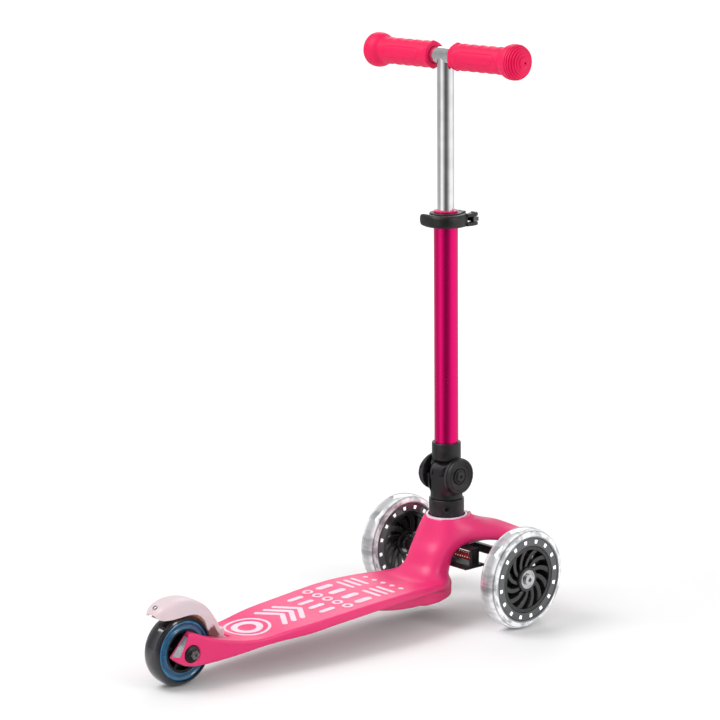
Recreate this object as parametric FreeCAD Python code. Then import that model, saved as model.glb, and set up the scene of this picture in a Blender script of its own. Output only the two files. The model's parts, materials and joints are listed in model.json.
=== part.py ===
import FreeCAD, Part
import math
import os

V = FreeCAD.Vector

# ---- driving dimensions, mm and degrees -------------------------------------
WHEELBASE = 431.2
TRACK = 202.6
FRONT_R = 60.0
REAR_R = 40.0
TYRE_W = 24.0
DECK_WIDTH = 104.8
STEM_LEAN = 1.814
STEM_AHEAD = 20.2
NECK_TOP = 118.0
FOLD_Z = 170.0
LOWER_TUBE_R = 14.1
LOWER_TUBE_WALL = 1.6
UPPER_TUBE_R = 9.75
UPPER_TUBE_WALL = 2.0
CLAMP_Z = 466.0
BAR_Z = 661.5
BAR_WIDTH = 250.0
GRIP_R = 15.5
BULB_R = 20.15
KINGPIN_INSET = 33.3
KINGPIN_LEAD = 27.0
STEER_ARM = 14.0
PIVOT_Z = 112.0
SPREADER_Z = 77.0
FENDER_HALF_W = 17.5
RUN = 0.05

# ---- derived positions -------------------------------------------------------
LENGTH = REAR_R + WHEELBASE + FRONT_R
REAR_X = -LENGTH / 2 + REAR_R
FRONT_X = REAR_X + WHEELBASE
STEM_X = FRONT_X - STEM_AHEAD
WHEEL_Y = TRACK / 2
KING_Y = WHEEL_Y - KINGPIN_INSET
KING_X = FRONT_X + KINGPIN_LEAD
ARM_SEAT = 93.8
TUBE_IN = LOWER_TUBE_R - LOWER_TUBE_WALL
DECK_K = DECK_WIDTH / 104.8
REAR_K = REAR_R / 40.0
BEARING_R = 11.0
BEARING_BORE = 4.0
BEARING_W = 7.0
AXLE_R = BEARING_BORE - RUN
CLAMP_H = 16.0
TUBE_TOP = CLAMP_Z + CLAMP_H + 1.0
SOCKET_R = LOWER_TUBE_R + 3.0
SOCKET_BOT = FOLD_Z + 18.6
SOCKET_TOP = FOLD_Z + 38.8

X = V(1, 0, 0)
Y = V(0, 1, 0)
Z = V(0, 0, 1)


def save(name, shape):
    shape.exportStep("parts/" + name + ".step")


def box(x0, x1, y0, y1, z0, z1):
    return Part.makeBox(x1 - x0, y1 - y0, z1 - z0, V(x0, y0, z0))


def rod(r, p, d, length):
    return Part.makeCylinder(r, length, p, d)


def tube(ro, ri, p, d, length):
    return rod(ro, p, d, length).cut(rod(ri, p, d, length))


def join(shapes):
    out = shapes[0]
    for s in shapes[1:]:
        out = out.fuse(s)
    return out.removeSplitter()


def group(shapes):
    return Part.makeCompound(shapes)


def mirror_y(shape):
    return shape.mirror(V(0, 0, 0), Y)


def stem(shape):
    out = shape.copy()
    out.rotate(V(STEM_X, 0, 0), Y, -STEM_LEAN)
    return out


def spin_y(points, x, y, z):
    """Solid of revolution about a line along Y; points are (y, radius)."""
    pts = [V(x, y + p[0], z + p[1]) for p in points]
    face = Part.Face(Part.makePolygon(pts + [pts[0]]))
    return face.revolve(V(x, y, z), Y, 360)


def spin_z(points, x, z):
    """Solid of revolution about a line along Z; points are (radius, z)."""
    pts = [V(x + p[0], 0, z + p[1]) for p in points]
    face = Part.Face(Part.makePolygon(pts + [pts[0]]))
    return face.revolve(V(x, 0, z), Z, 360)


def prism_xz(points, y0, y1):
    pts = [V(p[0], y0, p[1]) for p in points]
    return Part.Face(Part.makePolygon(pts + [pts[0]])).extrude(V(0, y1 - y0, 0))


def prism_yz(points, x0, x1):
    pts = [V(x0, p[0], p[1]) for p in points]
    return Part.Face(Part.makePolygon(pts + [pts[0]])).extrude(V(x1 - x0, 0, 0))


def prism_xy(points, z0, z1):
    pts = [V(p[0], p[1], z0) for p in points]
    return Part.Face(Part.makePolygon(pts + [pts[0]])).extrude(V(0, 0, z1 - z0))


def curve_points(points, n):
    """Points along a smooth curve through the given (a, b) pairs."""
    c = Part.BSplineCurve()
    c.interpolate([V(p[0], p[1], 0) for p in points])
    a = c.FirstParameter
    b = c.LastParameter
    out = [c.value(a + (b - a) * i / n) for i in range(n + 1)]
    return [(p.x, p.y) for p in out]


def soften(shape, radius, pick):
    edges = [e for e in shape.Edges if pick(e)]
    return shape.makeFillet(radius, edges)


def round_section(x, y, top, bottom, half, r):
    """Rounded rectangle in the YZ plane, as a wire of eight edges."""
    m = r * (1 - math.sqrt(0.5))
    z0 = bottom
    z1 = top
    a = y - half
    b = y + half
    p = [V(x, a + r, z1), V(x, b - r, z1), V(x, b, z1 - r), V(x, b, z0 + r)]
    q = [V(x, b - r, z0), V(x, a + r, z0), V(x, a, z0 + r), V(x, a, z1 - r)]
    e = [Part.makeLine(p[0], p[1])]
    e.append(Part.Arc(p[1], V(x, b - m, z1 - m), p[2]).toShape())
    e.append(Part.makeLine(p[2], p[3]))
    e.append(Part.Arc(p[3], V(x, b - m, z0 + m), q[0]).toShape())
    e.append(Part.makeLine(q[0], q[1]))
    e.append(Part.Arc(q[1], V(x, a + m, z0 + m), q[2]).toShape())
    e.append(Part.makeLine(q[2], q[3]))
    e.append(Part.Arc(q[3], V(x, a + m, z1 - m), p[0]).toShape())
    return Part.Wire(e)


def oval(centre, u, v, a, b, power):
    """Closed smooth curve, a superellipse with half sizes a along u and b along v."""
    pts = []
    for i in range(24):
        t = 2 * math.pi * i / 24
        c = math.cos(t)
        s = math.sin(t)
        k = (abs(c) ** power + abs(s) ** power) ** (-1.0 / power)
        pts.append(centre + u * (a * k * c) + v * (b * k * s))
    c = Part.BSplineCurve()
    c.interpolate(pts, PeriodicFlag=True)
    return Part.Wire([c.toShape()])


def deck_x(x):
    """Deck stations: the tail follows the rear wheel, the rest the wheelbase."""
    if x <= 70.0:
        return REAR_X + x * REAR_K
    tail = 70.0 * REAR_K
    return REAR_X + tail + (x - 70.0) * (WHEELBASE - tail) / 361.2


def tail_z(x, z):
    lift = max(0.0, min(1.0, (110.0 - x) / 90.0))
    return z + (REAR_R - 40.0) * lift


def front_x(x):
    """Front stations keep their distance from the front axle."""
    return FRONT_X + (x - 431.2)


# ---- deck moulding -----------------------------------------------------------
DECK_STATIONS = [
    (-28.0, 62.5, 42.5, 24.8, 2.8),
    (-14.0, 64.0, 30.6, 25.1, 2.8),
    (0.0, 63.4, 25.4, 25.6, 2.8),
    (16.0, 56.8, 24.3, 27.2, 2.8),
    (34.0, 50.5, 25.2, 29.5, 2.8),
    (58.0, 45.0, 28.0, 34.5, 2.8),
    (90.0, 42.6, 32.8, 40.6, 2.8),
    (120.0, 45.6, 35.0, 45.0, 2.8),
    (150.0, 48.0, 36.0, 48.4, 2.8),
    (180.0, 50.0, 38.5, 49.9, 2.8),
    (210.0, 52.0, 40.8, 51.3, 2.8),
    (240.0, 53.8, 43.0, 52.3, 2.8),
    (270.0, 54.8, 44.5, 52.1, 2.8),
    (300.0, 54.7, 44.8, 49.8, 2.8),
    (330.0, 53.6, 44.3, 46.4, 2.8),
    (358.0, 52.6, 43.6, 42.0, 2.8),
    (376.0, 52.0, 43.0, 36.0, 2.8),
    (386.0, 51.6, 42.8, 27.0, 2.8),
]


def deck_board(lift):
    wires = []
    for s in DECK_STATIONS:
        top = tail_z(s[0], s[1]) + lift
        low = tail_z(s[0], s[2]) + lift
        wires.append(round_section(deck_x(s[0]), 0, top, low, s[3] * DECK_K, s[4]))
    return Part.makeLoft(wires, True, False)


def belly():
    wires = []
    stations = [
        (238.0, 50.0, 43.0, 24.0),
        (258.0, 50.0, 37.5, 29.0),
        (285.0, 50.0, 31.5, 31.0),
        (315.0, 50.0, 28.0, 32.0),
        (345.0, 50.0, 27.2, 32.0),
        (372.0, 50.0, 28.2, 31.5),
    ]
    for s in stations:
        x = deck_x(s[0])
        wires.append(round_section(x, 0, s[1], s[2], s[3] * DECK_K, 2.6))
    x = max(front_x(388.0), deck_x(376.0))
    wires.append(round_section(x, 0, 50.0, 31.0, 30.0 * DECK_K, 2.6))
    return Part.makeLoft(wires, True, False)


def neck():
    stations = [
        (34.0, 346.0, 389.0, 31.0, 3.2),
        (46.0, 347.0, 391.0, 31.0, 3.0),
        (58.0, 353.0, 393.5, 29.5, 2.9),
        (70.0, 360.5, 398.0, 28.2, 2.8),
        (82.0, 366.0, 405.0, 28.8, 2.6),
        (94.0, 374.0, 420.0, 30.4, 2.4),
        (106.0, 380.5, 434.0, 29.2, 2.2),
        (NECK_TOP, 382.4, 432.2, 24.9, 2.0),
    ]
    wires = []
    for s in stations:
        c = V((front_x(s[1]) + front_x(s[2])) / 2, 0, s[0])
        wires.append(oval(c, X, Y, (s[2] - s[1]) / 2, s[3], s[4]))
    return Part.makeLoft(wires, True, False)


def arms():
    """Both arms reach outward, forward and a little down to the kingpins."""
    k = (KING_Y + 10.0) / 78.0
    lead = KINGPIN_LEAD / 27.0
    half = [
        (0.0, 386.0, 443.0, 87.0, 116.5, 0.0),
        (18.0, 388.0, 448.0, 88.0, 117.0, 0.2),
        (32.0, 403.0, 456.0, 90.0, 115.5, 0.5),
        (45.0, 418.0, 463.0, 93.5, 112.0, 0.6),
        (58.0, 433.0, 469.0, 93.9, 108.0, 0.6),
        (70.0, 444.0, 473.0, 94.0, 105.5, 0.5),
        (78.0, 450.0, 474.0, 94.0, 104.0, 0.4),
    ]
    rows = [(-s[0],) + s[1:] for s in reversed(half)] + half[1:]
    wires = []
    for s in rows:
        x = front_x(414.5 + ((s[1] + s[2]) / 2 - 414.5) * lead)
        c = V(x, s[0] * k, (s[3] + s[4]) / 2)
        wires.append(oval(c, X, V(s[5], 0, 1), (s[2] - s[1]) / 2, (s[4] - s[3]) / 2, 2.6))
    return Part.makeLoft(wires, True, False)


def stem_pocket():
    """Room for the leaning socket: wide at the mouth, narrow round its shank."""
    h = NECK_TOP
    out = stem(rod(22.2, V(STEM_X, 0, h - 1.5), Z, 12.0))
    out = out.fuse(stem(rod(17.0, V(STEM_X, 0, 92.0), Z, h - 92.0)))
    x = STEM_X - 0.03167 * 80
    return out.fuse(box(x - 9.5, x + 10.5, -17, 17, 58, 96))


BRAKE_X = REAR_X + REAR_R + 16.0
BRAKE_Z = REAR_R
PIVOT_X = STEM_X - 0.03167 * PIVOT_Z
BOLT_BACK = front_x(386.6)
BOLT_FRONT = front_x(444.0)
SLOT_Y = TYRE_W / 2 + 2.4

def deck_moulding():
    body = deck_board(0).fuse(belly())
    body = body.fuse(neck()).fuse(arms())
    for s in (1, -1):
        body = body.fuse(rod(9.0, V(KING_X, s * KING_Y, ARM_SEAT), Z, 5.0))
    slot = box(REAR_X - 60, REAR_X + REAR_R + 4, -SLOT_Y, SLOT_Y, 0, 120)
    slot = slot.fuse(rod(SLOT_Y, V(REAR_X + REAR_R + 4, 0, 0), Z, 120))
    slot = slot.fuse(box(REAR_X, BRAKE_X + 7, -13.6, 13.6, 0, 120))
    body = body.cut(slot)
    body = body.cut(stem_pocket())
    body = body.cut(rod(4.0, V(REAR_X, -40, REAR_R), Y, 80))
    body = body.cut(rod(9.6, V(REAR_X, 22.6, REAR_R), Y, 20))
    body = body.cut(rod(9.6, V(REAR_X, -42.6, REAR_R), Y, 20))
    body = body.cut(rod(2.5, V(BRAKE_X, -20, BRAKE_Z), Y, 40))
    body = body.cut(rod(3.5, V(BOLT_BACK, 0, PIVOT_Z), X, 80))
    body = body.cut(rod(6.5, V(BOLT_FRONT - 4, 0, PIVOT_Z), X, 30))
    for s in (1, -1):
        body = body.cut(rod(4.0, V(KING_X, s * KING_Y, 90), Z, 11.2))
        body = body.cut(leg_end(s, 0.0)).cut(reflector_room(s))
    body = body.cut(bracket())
    return body.removeSplitter()


def leg_end(s, ahead):
    """All that lies behind the slanted, slightly twisted end of a fork leg."""
    inner = [(13.2, 73.0), (-45.7, 24.8), (-80.0, 15.0), (-80.0, 95.0)]
    outer = [(-3.6, 74.0), (-14.9, 20.2), (-80.0, 15.0), (-80.0, 95.0)]
    wires = []
    for y, rows in ((10.0, inner), (30.0, outer)):
        pts = [V(deck_x(p[0] + ahead), s * y, tail_z(p[0], p[1])) for p in rows]
        wires.append(Part.makePolygon(pts + [pts[0]]))
    return Part.makeLoft(wires, True, True)


def reflector_room(s):
    """Shallow recess for the reflective strip, inside a narrow border."""
    y0 = 16.2 if s > 0 else -23.9
    z = REAR_R - 40.0
    window = box(REAR_X - 60, REAR_X + 30, y0, y0 + 7.7, z + 38.5, z + 59.5)
    return leg_end(s, 1.3).cut(leg_end(s, 0.0)).common(window)


def reflectors():
    out = []
    shell = deck_board(0)
    for s in (1, -1):
        strip = shell.common(reflector_room(s))
        out.append(strip)
    return group([b for o in out for b in o.Solids])


def pill(x, y, length, width, angle):
    r = width / 2
    h = length / 2 - r
    a = box(-h, h, -r, r, 0, 90)
    a = a.fuse(rod(r, V(-h, 0, 0), Z, 90)).fuse(rod(r, V(h, 0, 0), Z, 90))
    a.rotate(V(0, 0, 0), Z, angle)
    a.translate(V(deck_x(x), y * DECK_K, 0))
    return a


def ring_pad(x, y, ro, ri):
    return tube(ro, ri, V(deck_x(x), y * DECK_K, 0), Z, 90)


def chevron(x, size, width):
    a = pill(x, size / 2 - 1, size * 1.3, width, 125)
    b = pill(x, -size / 2 + 1, size * 1.3, width, -125)
    return a.fuse(b)


def grip_print():
    """Raised soft pads on the deck: rings, chevrons, bars and dots."""
    pads = [ring_pad(98, 0, 27.0, 23.6), ring_pad(98, 0, 18.0, 10.5)]
    for x in (141, 154, 167):
        pads.append(chevron(x, 27.0, 6.0))
    for y in (-27, -9, 9, 27):
        pads.append(pill(193, y, 22.0, 7.0, 0))
    for y in (-34, -17, 0, 17, 34):
        pads.append(ring_pad(218, y, 6.4, 3.4))
    for y in (-33, -11, 11, 33):
        pads.append(pill(243, y, 24.0, 9.0, 0))
    for x in (266, 277, 288):
        pads.append(pill(x, 22, 30.0, 4.6, 90))
        pads.append(pill(x, -22, 30.0, 4.6, 90))
    for y in (-30, -15, 0, 15, 30):
        pads.append(pill(305, y, 6.4, 6.2, 0))
    skin = deck_board(0.5)
    base = deck_board(0)
    out = []
    for p in pads:
        piece = p.common(skin).cut(base)
        low = [b for b in piece.Solids if b.BoundBox.ZMin > 30]
        out.extend(low)
    return group(out)


def bracket():
    """Black channel under the arms that holds the centring springs."""
    x0 = front_x(391.0)
    x1 = front_x(421.5)
    a = front_x(400.5)
    b = front_x(412.6)
    parts = [box(x0, x1, -50, 50, 64.5, 67.5)]
    for s in (1, -1):
        y0 = 46 if s > 0 else -50
        parts.append(box(a, b, y0, y0 + 4, 66, 88))
        y2 = 26.8 if s > 0 else -50
        parts.append(box(a, b, y2, y2 + 23.2, 85.4, 88))
    return join(parts)


def coil(r, wire, pitch, turns, p, d):
    """Round-wire spring: axis from p along d."""
    h = Part.makeHelix(pitch, pitch * turns, r)
    c = Part.makeCircle(wire, V(r, 0, 0), V(0, 1, 0))
    s = Part.Wire(h.Edges).makePipeShell([Part.Wire([c])], True, True)
    rot = FreeCAD.Rotation(Z, d)
    s.Placement = FreeCAD.Placement(p, rot)
    return s


def centring_spring(s):
    y0 = 9.0
    turns = 9
    pitch = (45.0 - y0 - 1.8) / turns
    return coil(4.3, 0.85, pitch, turns, V(front_x(406.5), s * (y0 + 0.9), SPREADER_Z), V(0, s, 0))


def neck_ring():
    ring = stem(tube(24.5, 22.2, V(STEM_X, 0, NECK_TOP - 3.0), Z, 6.2))
    body = neck().fuse(arms())
    return ring.cut(body)


def kingpins():
    out = []
    for s in (1, -1):
        y = s * KING_Y
        z0 = FRONT_R - 13.0
        p = rod(AXLE_R, V(KING_X, y, z0), Z, 101.0 - z0)
        p = p.fuse(rod(7.0, V(KING_X, y, z0 - 4.0), Z, 4.0))
        out.append(p)
    return group(out)


def tilt_bolt():
    p = rod(3.5, V(BOLT_BACK, 0, PIVOT_Z), X, BOLT_FRONT - BOLT_BACK - 4)
    h = rod(6.2, V(BOLT_FRONT - 4, 0, PIVOT_Z), X, 4.0)
    h = h.cut(rod(2.4, V(BOLT_FRONT - 2, 0, PIVOT_Z), X, 4.0))
    return p.fuse(h)


# ---- steering parts ----------------------------------------------------------
def knuckle(s):
    """Upright on the kingpin with a trailing leg that carries the wheel's axle."""
    y = s * KING_Y
    z0 = FRONT_R - 12.5
    top = ARM_SEAT - 0.5
    body = rod(8.5, V(KING_X, y, z0), Z, top - z0)
    body = body.fuse(rod(11.0, V(KING_X, y, top - 3.0), Z, 3.0))
    seat_y = WHEEL_Y - TYRE_W / 2 - 3.4
    body = body.fuse(rod(8.8, V(FRONT_X, s * (KING_Y + 3.0), FRONT_R), V(0, s, 0), seat_y - KING_Y - 3.0))
    leg = [(KING_X + 1.0, KING_Y - 8.4), (KING_X + 1.0, KING_Y + 8.4), (FRONT_X + 10.0, seat_y - 1.6)]
    leg = leg + [(FRONT_X, seat_y - 1.6), (FRONT_X, KING_Y + 3.4), (FRONT_X + 8.0, KING_Y - 1.0)]
    body = body.fuse(prism_xy([(p[0], s * p[1]) for p in leg], FRONT_R - 7.6, FRONT_R + 7.6))
    z1 = SPREADER_Z + 5.6
    arm = box(KING_X - STEER_ARM - 6.0, KING_X, y - 6.2, y + 6.2, z1, z1 + 5.0)
    fork = box(KING_X - STEER_ARM - 8.0, KING_X - STEER_ARM + 4.2, y - 3.05, y + 3.05, z1 - 1, z1 + 6)
    body = body.fuse(arm.cut(fork))
    body = body.cut(rod(AXLE_R + RUN, V(KING_X, y, z0 - 1), Z, 80))
    body = body.cut(rod(AXLE_R, V(FRONT_X, s * (KING_Y + 5.0), FRONT_R), V(0, s, 0), 40))
    return body.removeSplitter()


def front_axle(s):
    out_y = WHEEL_Y + TYRE_W / 2 - 1.0
    a = rod(AXLE_R, V(FRONT_X, s * (KING_Y + 5.0), FRONT_R), V(0, s, 0), out_y - KING_Y - 5.0)
    h = rod(6.6, V(FRONT_X, s * (out_y + 0.35), FRONT_R), V(0, s, 0), 2.4)
    n = rod(AXLE_R, V(FRONT_X, s * (out_y - 1), FRONT_R), V(0, s, 0), 2.0)
    a = a.fuse(n).fuse(h)
    return a.cut(hexagon(3.1, FRONT_X, s * (out_y + 1.0), FRONT_R, s, 4)).removeSplitter()


def hexagon(r, x, y, z, s, depth):
    pts = []
    for i in range(6):
        t = math.pi / 3 * i
        pts.append(V(x + r * math.cos(t), y, z + r * math.sin(t)))
    return Part.Face(Part.makePolygon(pts + [pts[0]])).extrude(V(0, s * depth, 0))


def tie_rod():
    z0 = SPREADER_Z - 5
    z1 = SPREADER_Z + 5
    x0 = KING_X - STEER_ARM - 2.6
    x1 = KING_X - STEER_ARM + 2.6
    r = box(x0, x1, -KING_Y - 4, KING_Y + 4, z0, z1)
    for s in (1, -1):
        y = s * KING_Y
        pin = rod(2.5, V(KING_X - STEER_ARM, y, z0), Z, 16.5)
        pad = rod(4.6, V(KING_X - STEER_ARM, y, z0), Z, 10)
        r = r.fuse(pad).fuse(pin)
    r = r.cut(box(x0 - 5, x1 + 5, -3.4, 3.4, SPREADER_Z - 3.8, SPREADER_Z + 3.8))
    return r.removeSplitter()


# ---- wheels ------------------------------------------------------------------
def tyre(x, y, z, ro, ri, w):
    h = w / 2
    crown = [(-h, 0.0), (-h, 2.2), (-h + 1.0, 4.6), (-h + 3.2, 7.2), (-h + 6.2, 9.0)]
    t = ro - ri
    pts = [(p[0], ri + p[1] * t / 10.0) for p in crown] + [(-h + 9.2, ro - 0.15 * t / 10)]
    pts.append((0.0, ro))
    side = [(-p[0], p[1]) for p in reversed(pts[:-1])]
    return spin_y(pts + side, x, y, z)


def wheel_rim(x, y, z, ro, ri, w):
    h = w / 2 - 0.6
    pts = [(-h, ri), (-h, ri + 2.0), (-h + 1.4, ro - 1.0), (-h + 1.4, ro)]
    side = [(-p[0], p[1]) for p in reversed(pts)]
    return spin_y(pts + side, x, y, z)


def led_capsules(x, y, z, r, count):
    out = []
    for i in range(count):
        c = rod(1.9, V(x, y - 8.0, z + r), Y, 16.0)
        c.rotate(V(x, y, z), Y, 360.0 * (i + 0.35) / count)
        out.append(c)
    return group(out)


def blade(x, y, z, r0, r1, sweep, thick, w, a0):
    left = []
    right = []
    for i in range(7):
        f = i / 6.0
        r = r0 + (r1 - r0) * f
        a = math.radians(a0 + sweep * f)
        d = thick / 2 / r
        left.append(V(x + r * math.cos(a - d), y - w / 2, z + r * math.sin(a - d)))
        right.append(V(x + r * math.cos(a + d), y - w / 2, z + r * math.sin(a + d)))
    pts = left + right[::-1]
    return Part.Face(Part.makePolygon(pts + [pts[0]])).extrude(V(0, w, 0))


def front_hub(y, s):
    x = FRONT_X
    z = FRONT_R
    ro = FRONT_R - 20.0
    h = TYRE_W / 2 - 1.0
    ring = spin_y([(-h, ro - 3.6), (-h, ro), (h, ro), (h, ro - 3.6)], x, y, z)
    boss = spin_y([(-h, 0), (-h, 14.0), (-h + 3, 15.0), (h - 3, 15.0), (h, 14.0), (h, 0)], x, y, z)
    web = rod(ro - 1, V(x, y - 1.6, z), Y, 3.2)
    parts = [ring, boss, web]
    for i in range(12):
        parts.append(blade(x, y, z, 13.0, ro - 2.5, s * 34.0, 2.2, 2 * h - 3.0, 30.0 * i))
    hub = join(parts)
    return hub.cut(wheel_bore(x, y, z, h))


def wheel_bore(x, y, z, h):
    bore = rod(BEARING_R, V(x, y + h - BEARING_W, z), Y, BEARING_W + 1)
    bore = bore.fuse(rod(BEARING_R, V(x, y - h - 1, z), Y, BEARING_W + 1))
    return bore.fuse(rod(8.0, V(x, y - h, z), Y, 2 * h))


def bearing_pair(x, y, z, h):
    out = []
    for c in (y + h - BEARING_W / 2, y - h + BEARING_W / 2):
        w = BEARING_W / 2
        pts = [(-w, BEARING_BORE), (-w, 6.0), (-w + 0.5, 6.2), (-w + 0.5, 9.2)]
        pts = pts + [(-w, 9.4), (-w, BEARING_R)]
        side = [(-p[0], p[1]) for p in reversed(pts)]
        out.append(spin_y(pts + side, x, c, z))
    return group(out)


def wheel_spacer(x, y, z, h):
    n = h - BEARING_W
    return tube(6.0, BEARING_BORE, V(x, y - n, z), Y, 2 * n)


def rear_hub():
    x = REAR_X
    z = REAR_R
    ro = REAR_R - 16.0
    h = TYRE_W / 2 - 1.5
    ring = spin_y([(-h, ro - 2.6), (-h, ro), (h, ro), (h, ro - 2.6)], x, 0, z)
    boss = rod(13.4, V(x, -h, z), Y, 2 * h)
    web = rod(ro - 1, V(x, -2.0, z), Y, 4.0)
    parts = [ring, boss, web]
    for i in range(5):
        parts.append(blade(x, 0, z, 12.0, ro - 1.5, 0.0, 3.4, 2 * h - 2.0, 72.0 * i + 20))
    return join(parts).cut(wheel_bore(x, 0, z, h))


# ---- stem head and fold joint ------------------------------------------------
def stem_socket():
    x = STEM_X
    collar = spin_z([(0, 121.4), (20.35, 121.4), (20.75, 121.8), (20.75, 140.3), (20.3, 140.8), (0, 140.8)], x, 0)
    shank = rod(12.0, V(x, 0, 100.0), Z, 22.0)
    tail = box(x - 6, x + 6, -8, 8, 69.5, 101.0)
    body = collar.fuse(shank).fuse(tail)
    body = stem(body)
    xp = STEM_X - 0.03167 * SPREADER_Z
    peg = rod(3.0, V(xp, 0, SPREADER_Z), X, KING_X - STEER_ARM + 4.0 - xp)
    body = body.fuse(peg)
    body = body.cut(rod(3.5 + RUN, V(BOLT_BACK - 5, 0, PIVOT_Z), X, 80))
    screw = rod(4.6, V(x - 30, 0, 131.0), X, 30 - 18.6)
    screw.rotate(V(x, 0, 0), Z, 45)
    body = body.cut(stem(screw))
    return body.removeSplitter()


def socket_screw():
    x = STEM_X
    s = rod(4.6, V(x - 20.9, 0, 131.0), X, 2.3)
    s = s.cut(rod(2.0, V(x - 21.5, 0, 131.0), X, 2.0))
    s.rotate(V(x, 0, 0), Z, 45)
    return stem(s)


def disc_xz(r, y0, y1):
    return rod(r, V(STEM_X, y0, FOLD_Z), Y, y1 - y0)


def ear(r, y0, y1, bulge):
    """One cheek of the fold joint: a disc with a rounded outer face."""
    x = STEM_X
    z = FOLD_Z
    side = [(0, z - 24), (18.6, z - 22), (21.4, z - 16), (bulge - 0.6, z - 9)]
    side = side + [(bulge + 0.4, z), (bulge, z + 8), (bulge - 1.8, z + 16), (19.6, z + 24), (0, z + 24)]
    if y0 < 0:
        side = [(-p[0], p[1]) for p in side]
    return disc_xz(r, y0, y1).common(prism_yz(side, x - 40, x + 40))


def flare():
    """Foot of the yoke, swelling from round to the squarer width of its cheeks."""
    z = FOLD_Z
    rows = [(z - 23.5, 18.7, 18.9, 2.0), (z - 18.0, 18.4, 20.4, 2.4), (z - 12.0, 18.2, 22.4, 3.2)]
    rows = rows + [(z - 6.0, 18.2, 23.5, 4.0), (z + 1.0, 18.2, 23.8, 4.4)]
    wires = [oval(V(STEM_X, 0, r[0]), X, Y, r[1], r[2], r[3]) for r in rows]
    return Part.makeLoft(wires, True, False)


def fold_yoke():
    x = STEM_X
    z = FOLD_Z
    core_r = 18.2
    base = spin_z([(0, 141.3), (18.5, 141.3), (18.95, 141.8), (18.95, 147.5), (18.3, 150.5), (0, 150.5)], x, 0)
    low = rod(core_r, V(x, 0, 145.0), Z, z - 145.0)
    dome = disc_xz(core_r, -core_r, core_r).common(rod(core_r, V(x, 0, z - 2), Z, 40))
    left = ear(22.3, 17.5, 30, 24.0)
    right = ear(21.6, -20.6, -17.5, 24.0)
    body = base.fuse(low).fuse(flare()).fuse(dome)
    body = body.cut(disc_xz(40.0, -60, -20.6).common(box(x - 60, x + 60, -60, 0, z - 21.2, z + 60)))
    body = body.fuse(left).fuse(right)
    body = body.cut(box(x - 40, x + 40, 7.2, 10.8, z - 18.5, z + 40))
    body = body.cut(disc_xz(4.5, -40, 21.0))
    body = body.cut(disc_xz(9.4, -40, -10.4))
    return stem(body.removeSplitter())


def fold_cap():
    y0 = -20.6
    y1 = -24.4
    pts = [(0, 10.2), (0, 20.8), (y1 - y0 + 1.2, 20.8), (y1 - y0, 19.6), (y1 - y0, 11.2), (y1 - y0 + 0.9, 10.2)]
    return stem(spin_y(pts, STEM_X, y0, FOLD_Z))


def fold_button():
    y1 = -23.0
    pts = [(0, 0), (0, 8.2), (1.0, 9.0), (7.6, 9.0), (7.6, 3.2), (9.0, 3.2), (9.0, 0)]
    b = spin_y(pts, STEM_X, y1, FOLD_Z)
    b = b.cut(rod(1.6, V(STEM_X, y1 - 1, FOLD_Z), Y, 3.0))
    return stem(b)


def button_spring():
    c = coil(6.6, 0.5, 1.7, 2.0, V(STEM_X, -14.7, FOLD_Z), Y)
    return stem(c)


def fold_pin():
    p = rod(4.5, V(STEM_X, -8.4, FOLD_Z), Y, 29.2)
    return stem(p)


def fold_socket():
    x = STEM_X
    z = FOLD_Z
    r = SOCKET_R
    b = SOCKET_BOT
    t = SOCKET_TOP
    body = spin_z([(0, b), (r - 0.5, b), (r, b + 0.5), (r, t - 0.6), (r - 0.6, t), (0, t)], x, 0)
    body = body.cut(rod(LOWER_TUBE_R, V(x, 0, b + 4.0), Z, 60))
    tongue = rod(17.0, V(x, 7.6, z), Y, 2.8)
    neck_plate = box(x - 12.5, x + 12.5, 7.6, 10.4, z, b + 2)
    body = body.fuse(tongue).fuse(neck_plate)
    body = body.cut(rod(4.5 + RUN, V(x, 0, z), Y, 30))
    body = body.cut(rod(2.6, V(x + 8, 0, (b + t) / 2 + 3), X, 30))
    return stem(body.removeSplitter())


def lower_tube():
    x = STEM_X
    b = SOCKET_BOT + 4.0
    t = tube(LOWER_TUBE_R, TUBE_IN, V(x, 0, b), Z, TUBE_TOP - b)
    t = t.cut(rod(2.6, V(x + 8, 0, (SOCKET_BOT + SOCKET_TOP) / 2 + 3), X, 30))
    slit = box(x + 5, x + 30, -1.0, 1.0, CLAMP_Z - 12, TUBE_TOP + 2)
    return stem(t.cut(slit))


def cross_pin():
    """Short pin from the front that keys the tube in its socket."""
    z = (SOCKET_BOT + SOCKET_TOP) / 2 + 3
    return stem(rod(2.6, V(STEM_X + TUBE_IN - 1.2, 0, z), X, SOCKET_R - TUBE_IN + 0.8))


def guide_bush():
    x = STEM_X
    z0 = CLAMP_Z - 16
    b = tube(TUBE_IN, UPPER_TUBE_R + RUN, V(x, 0, z0), Z, TUBE_TOP - z0)
    b = b.fuse(tube(LOWER_TUBE_R - 0.4, UPPER_TUBE_R + RUN, V(x, 0, TUBE_TOP), Z, 1.4))
    key = box(x + UPPER_TUBE_R - 0.6, x + UPPER_TUBE_R + 1.0, -1.2, 1.2, z0, TUBE_TOP + 1.4)
    return stem(b.fuse(key).removeSplitter())


CLAMP_RO = LOWER_TUBE_R + 4.9
EAR_X = CLAMP_RO + 4.0
PIN_X = CLAMP_RO + 5.0
PIN_Y = -(CLAMP_RO + 2.6)


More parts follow.
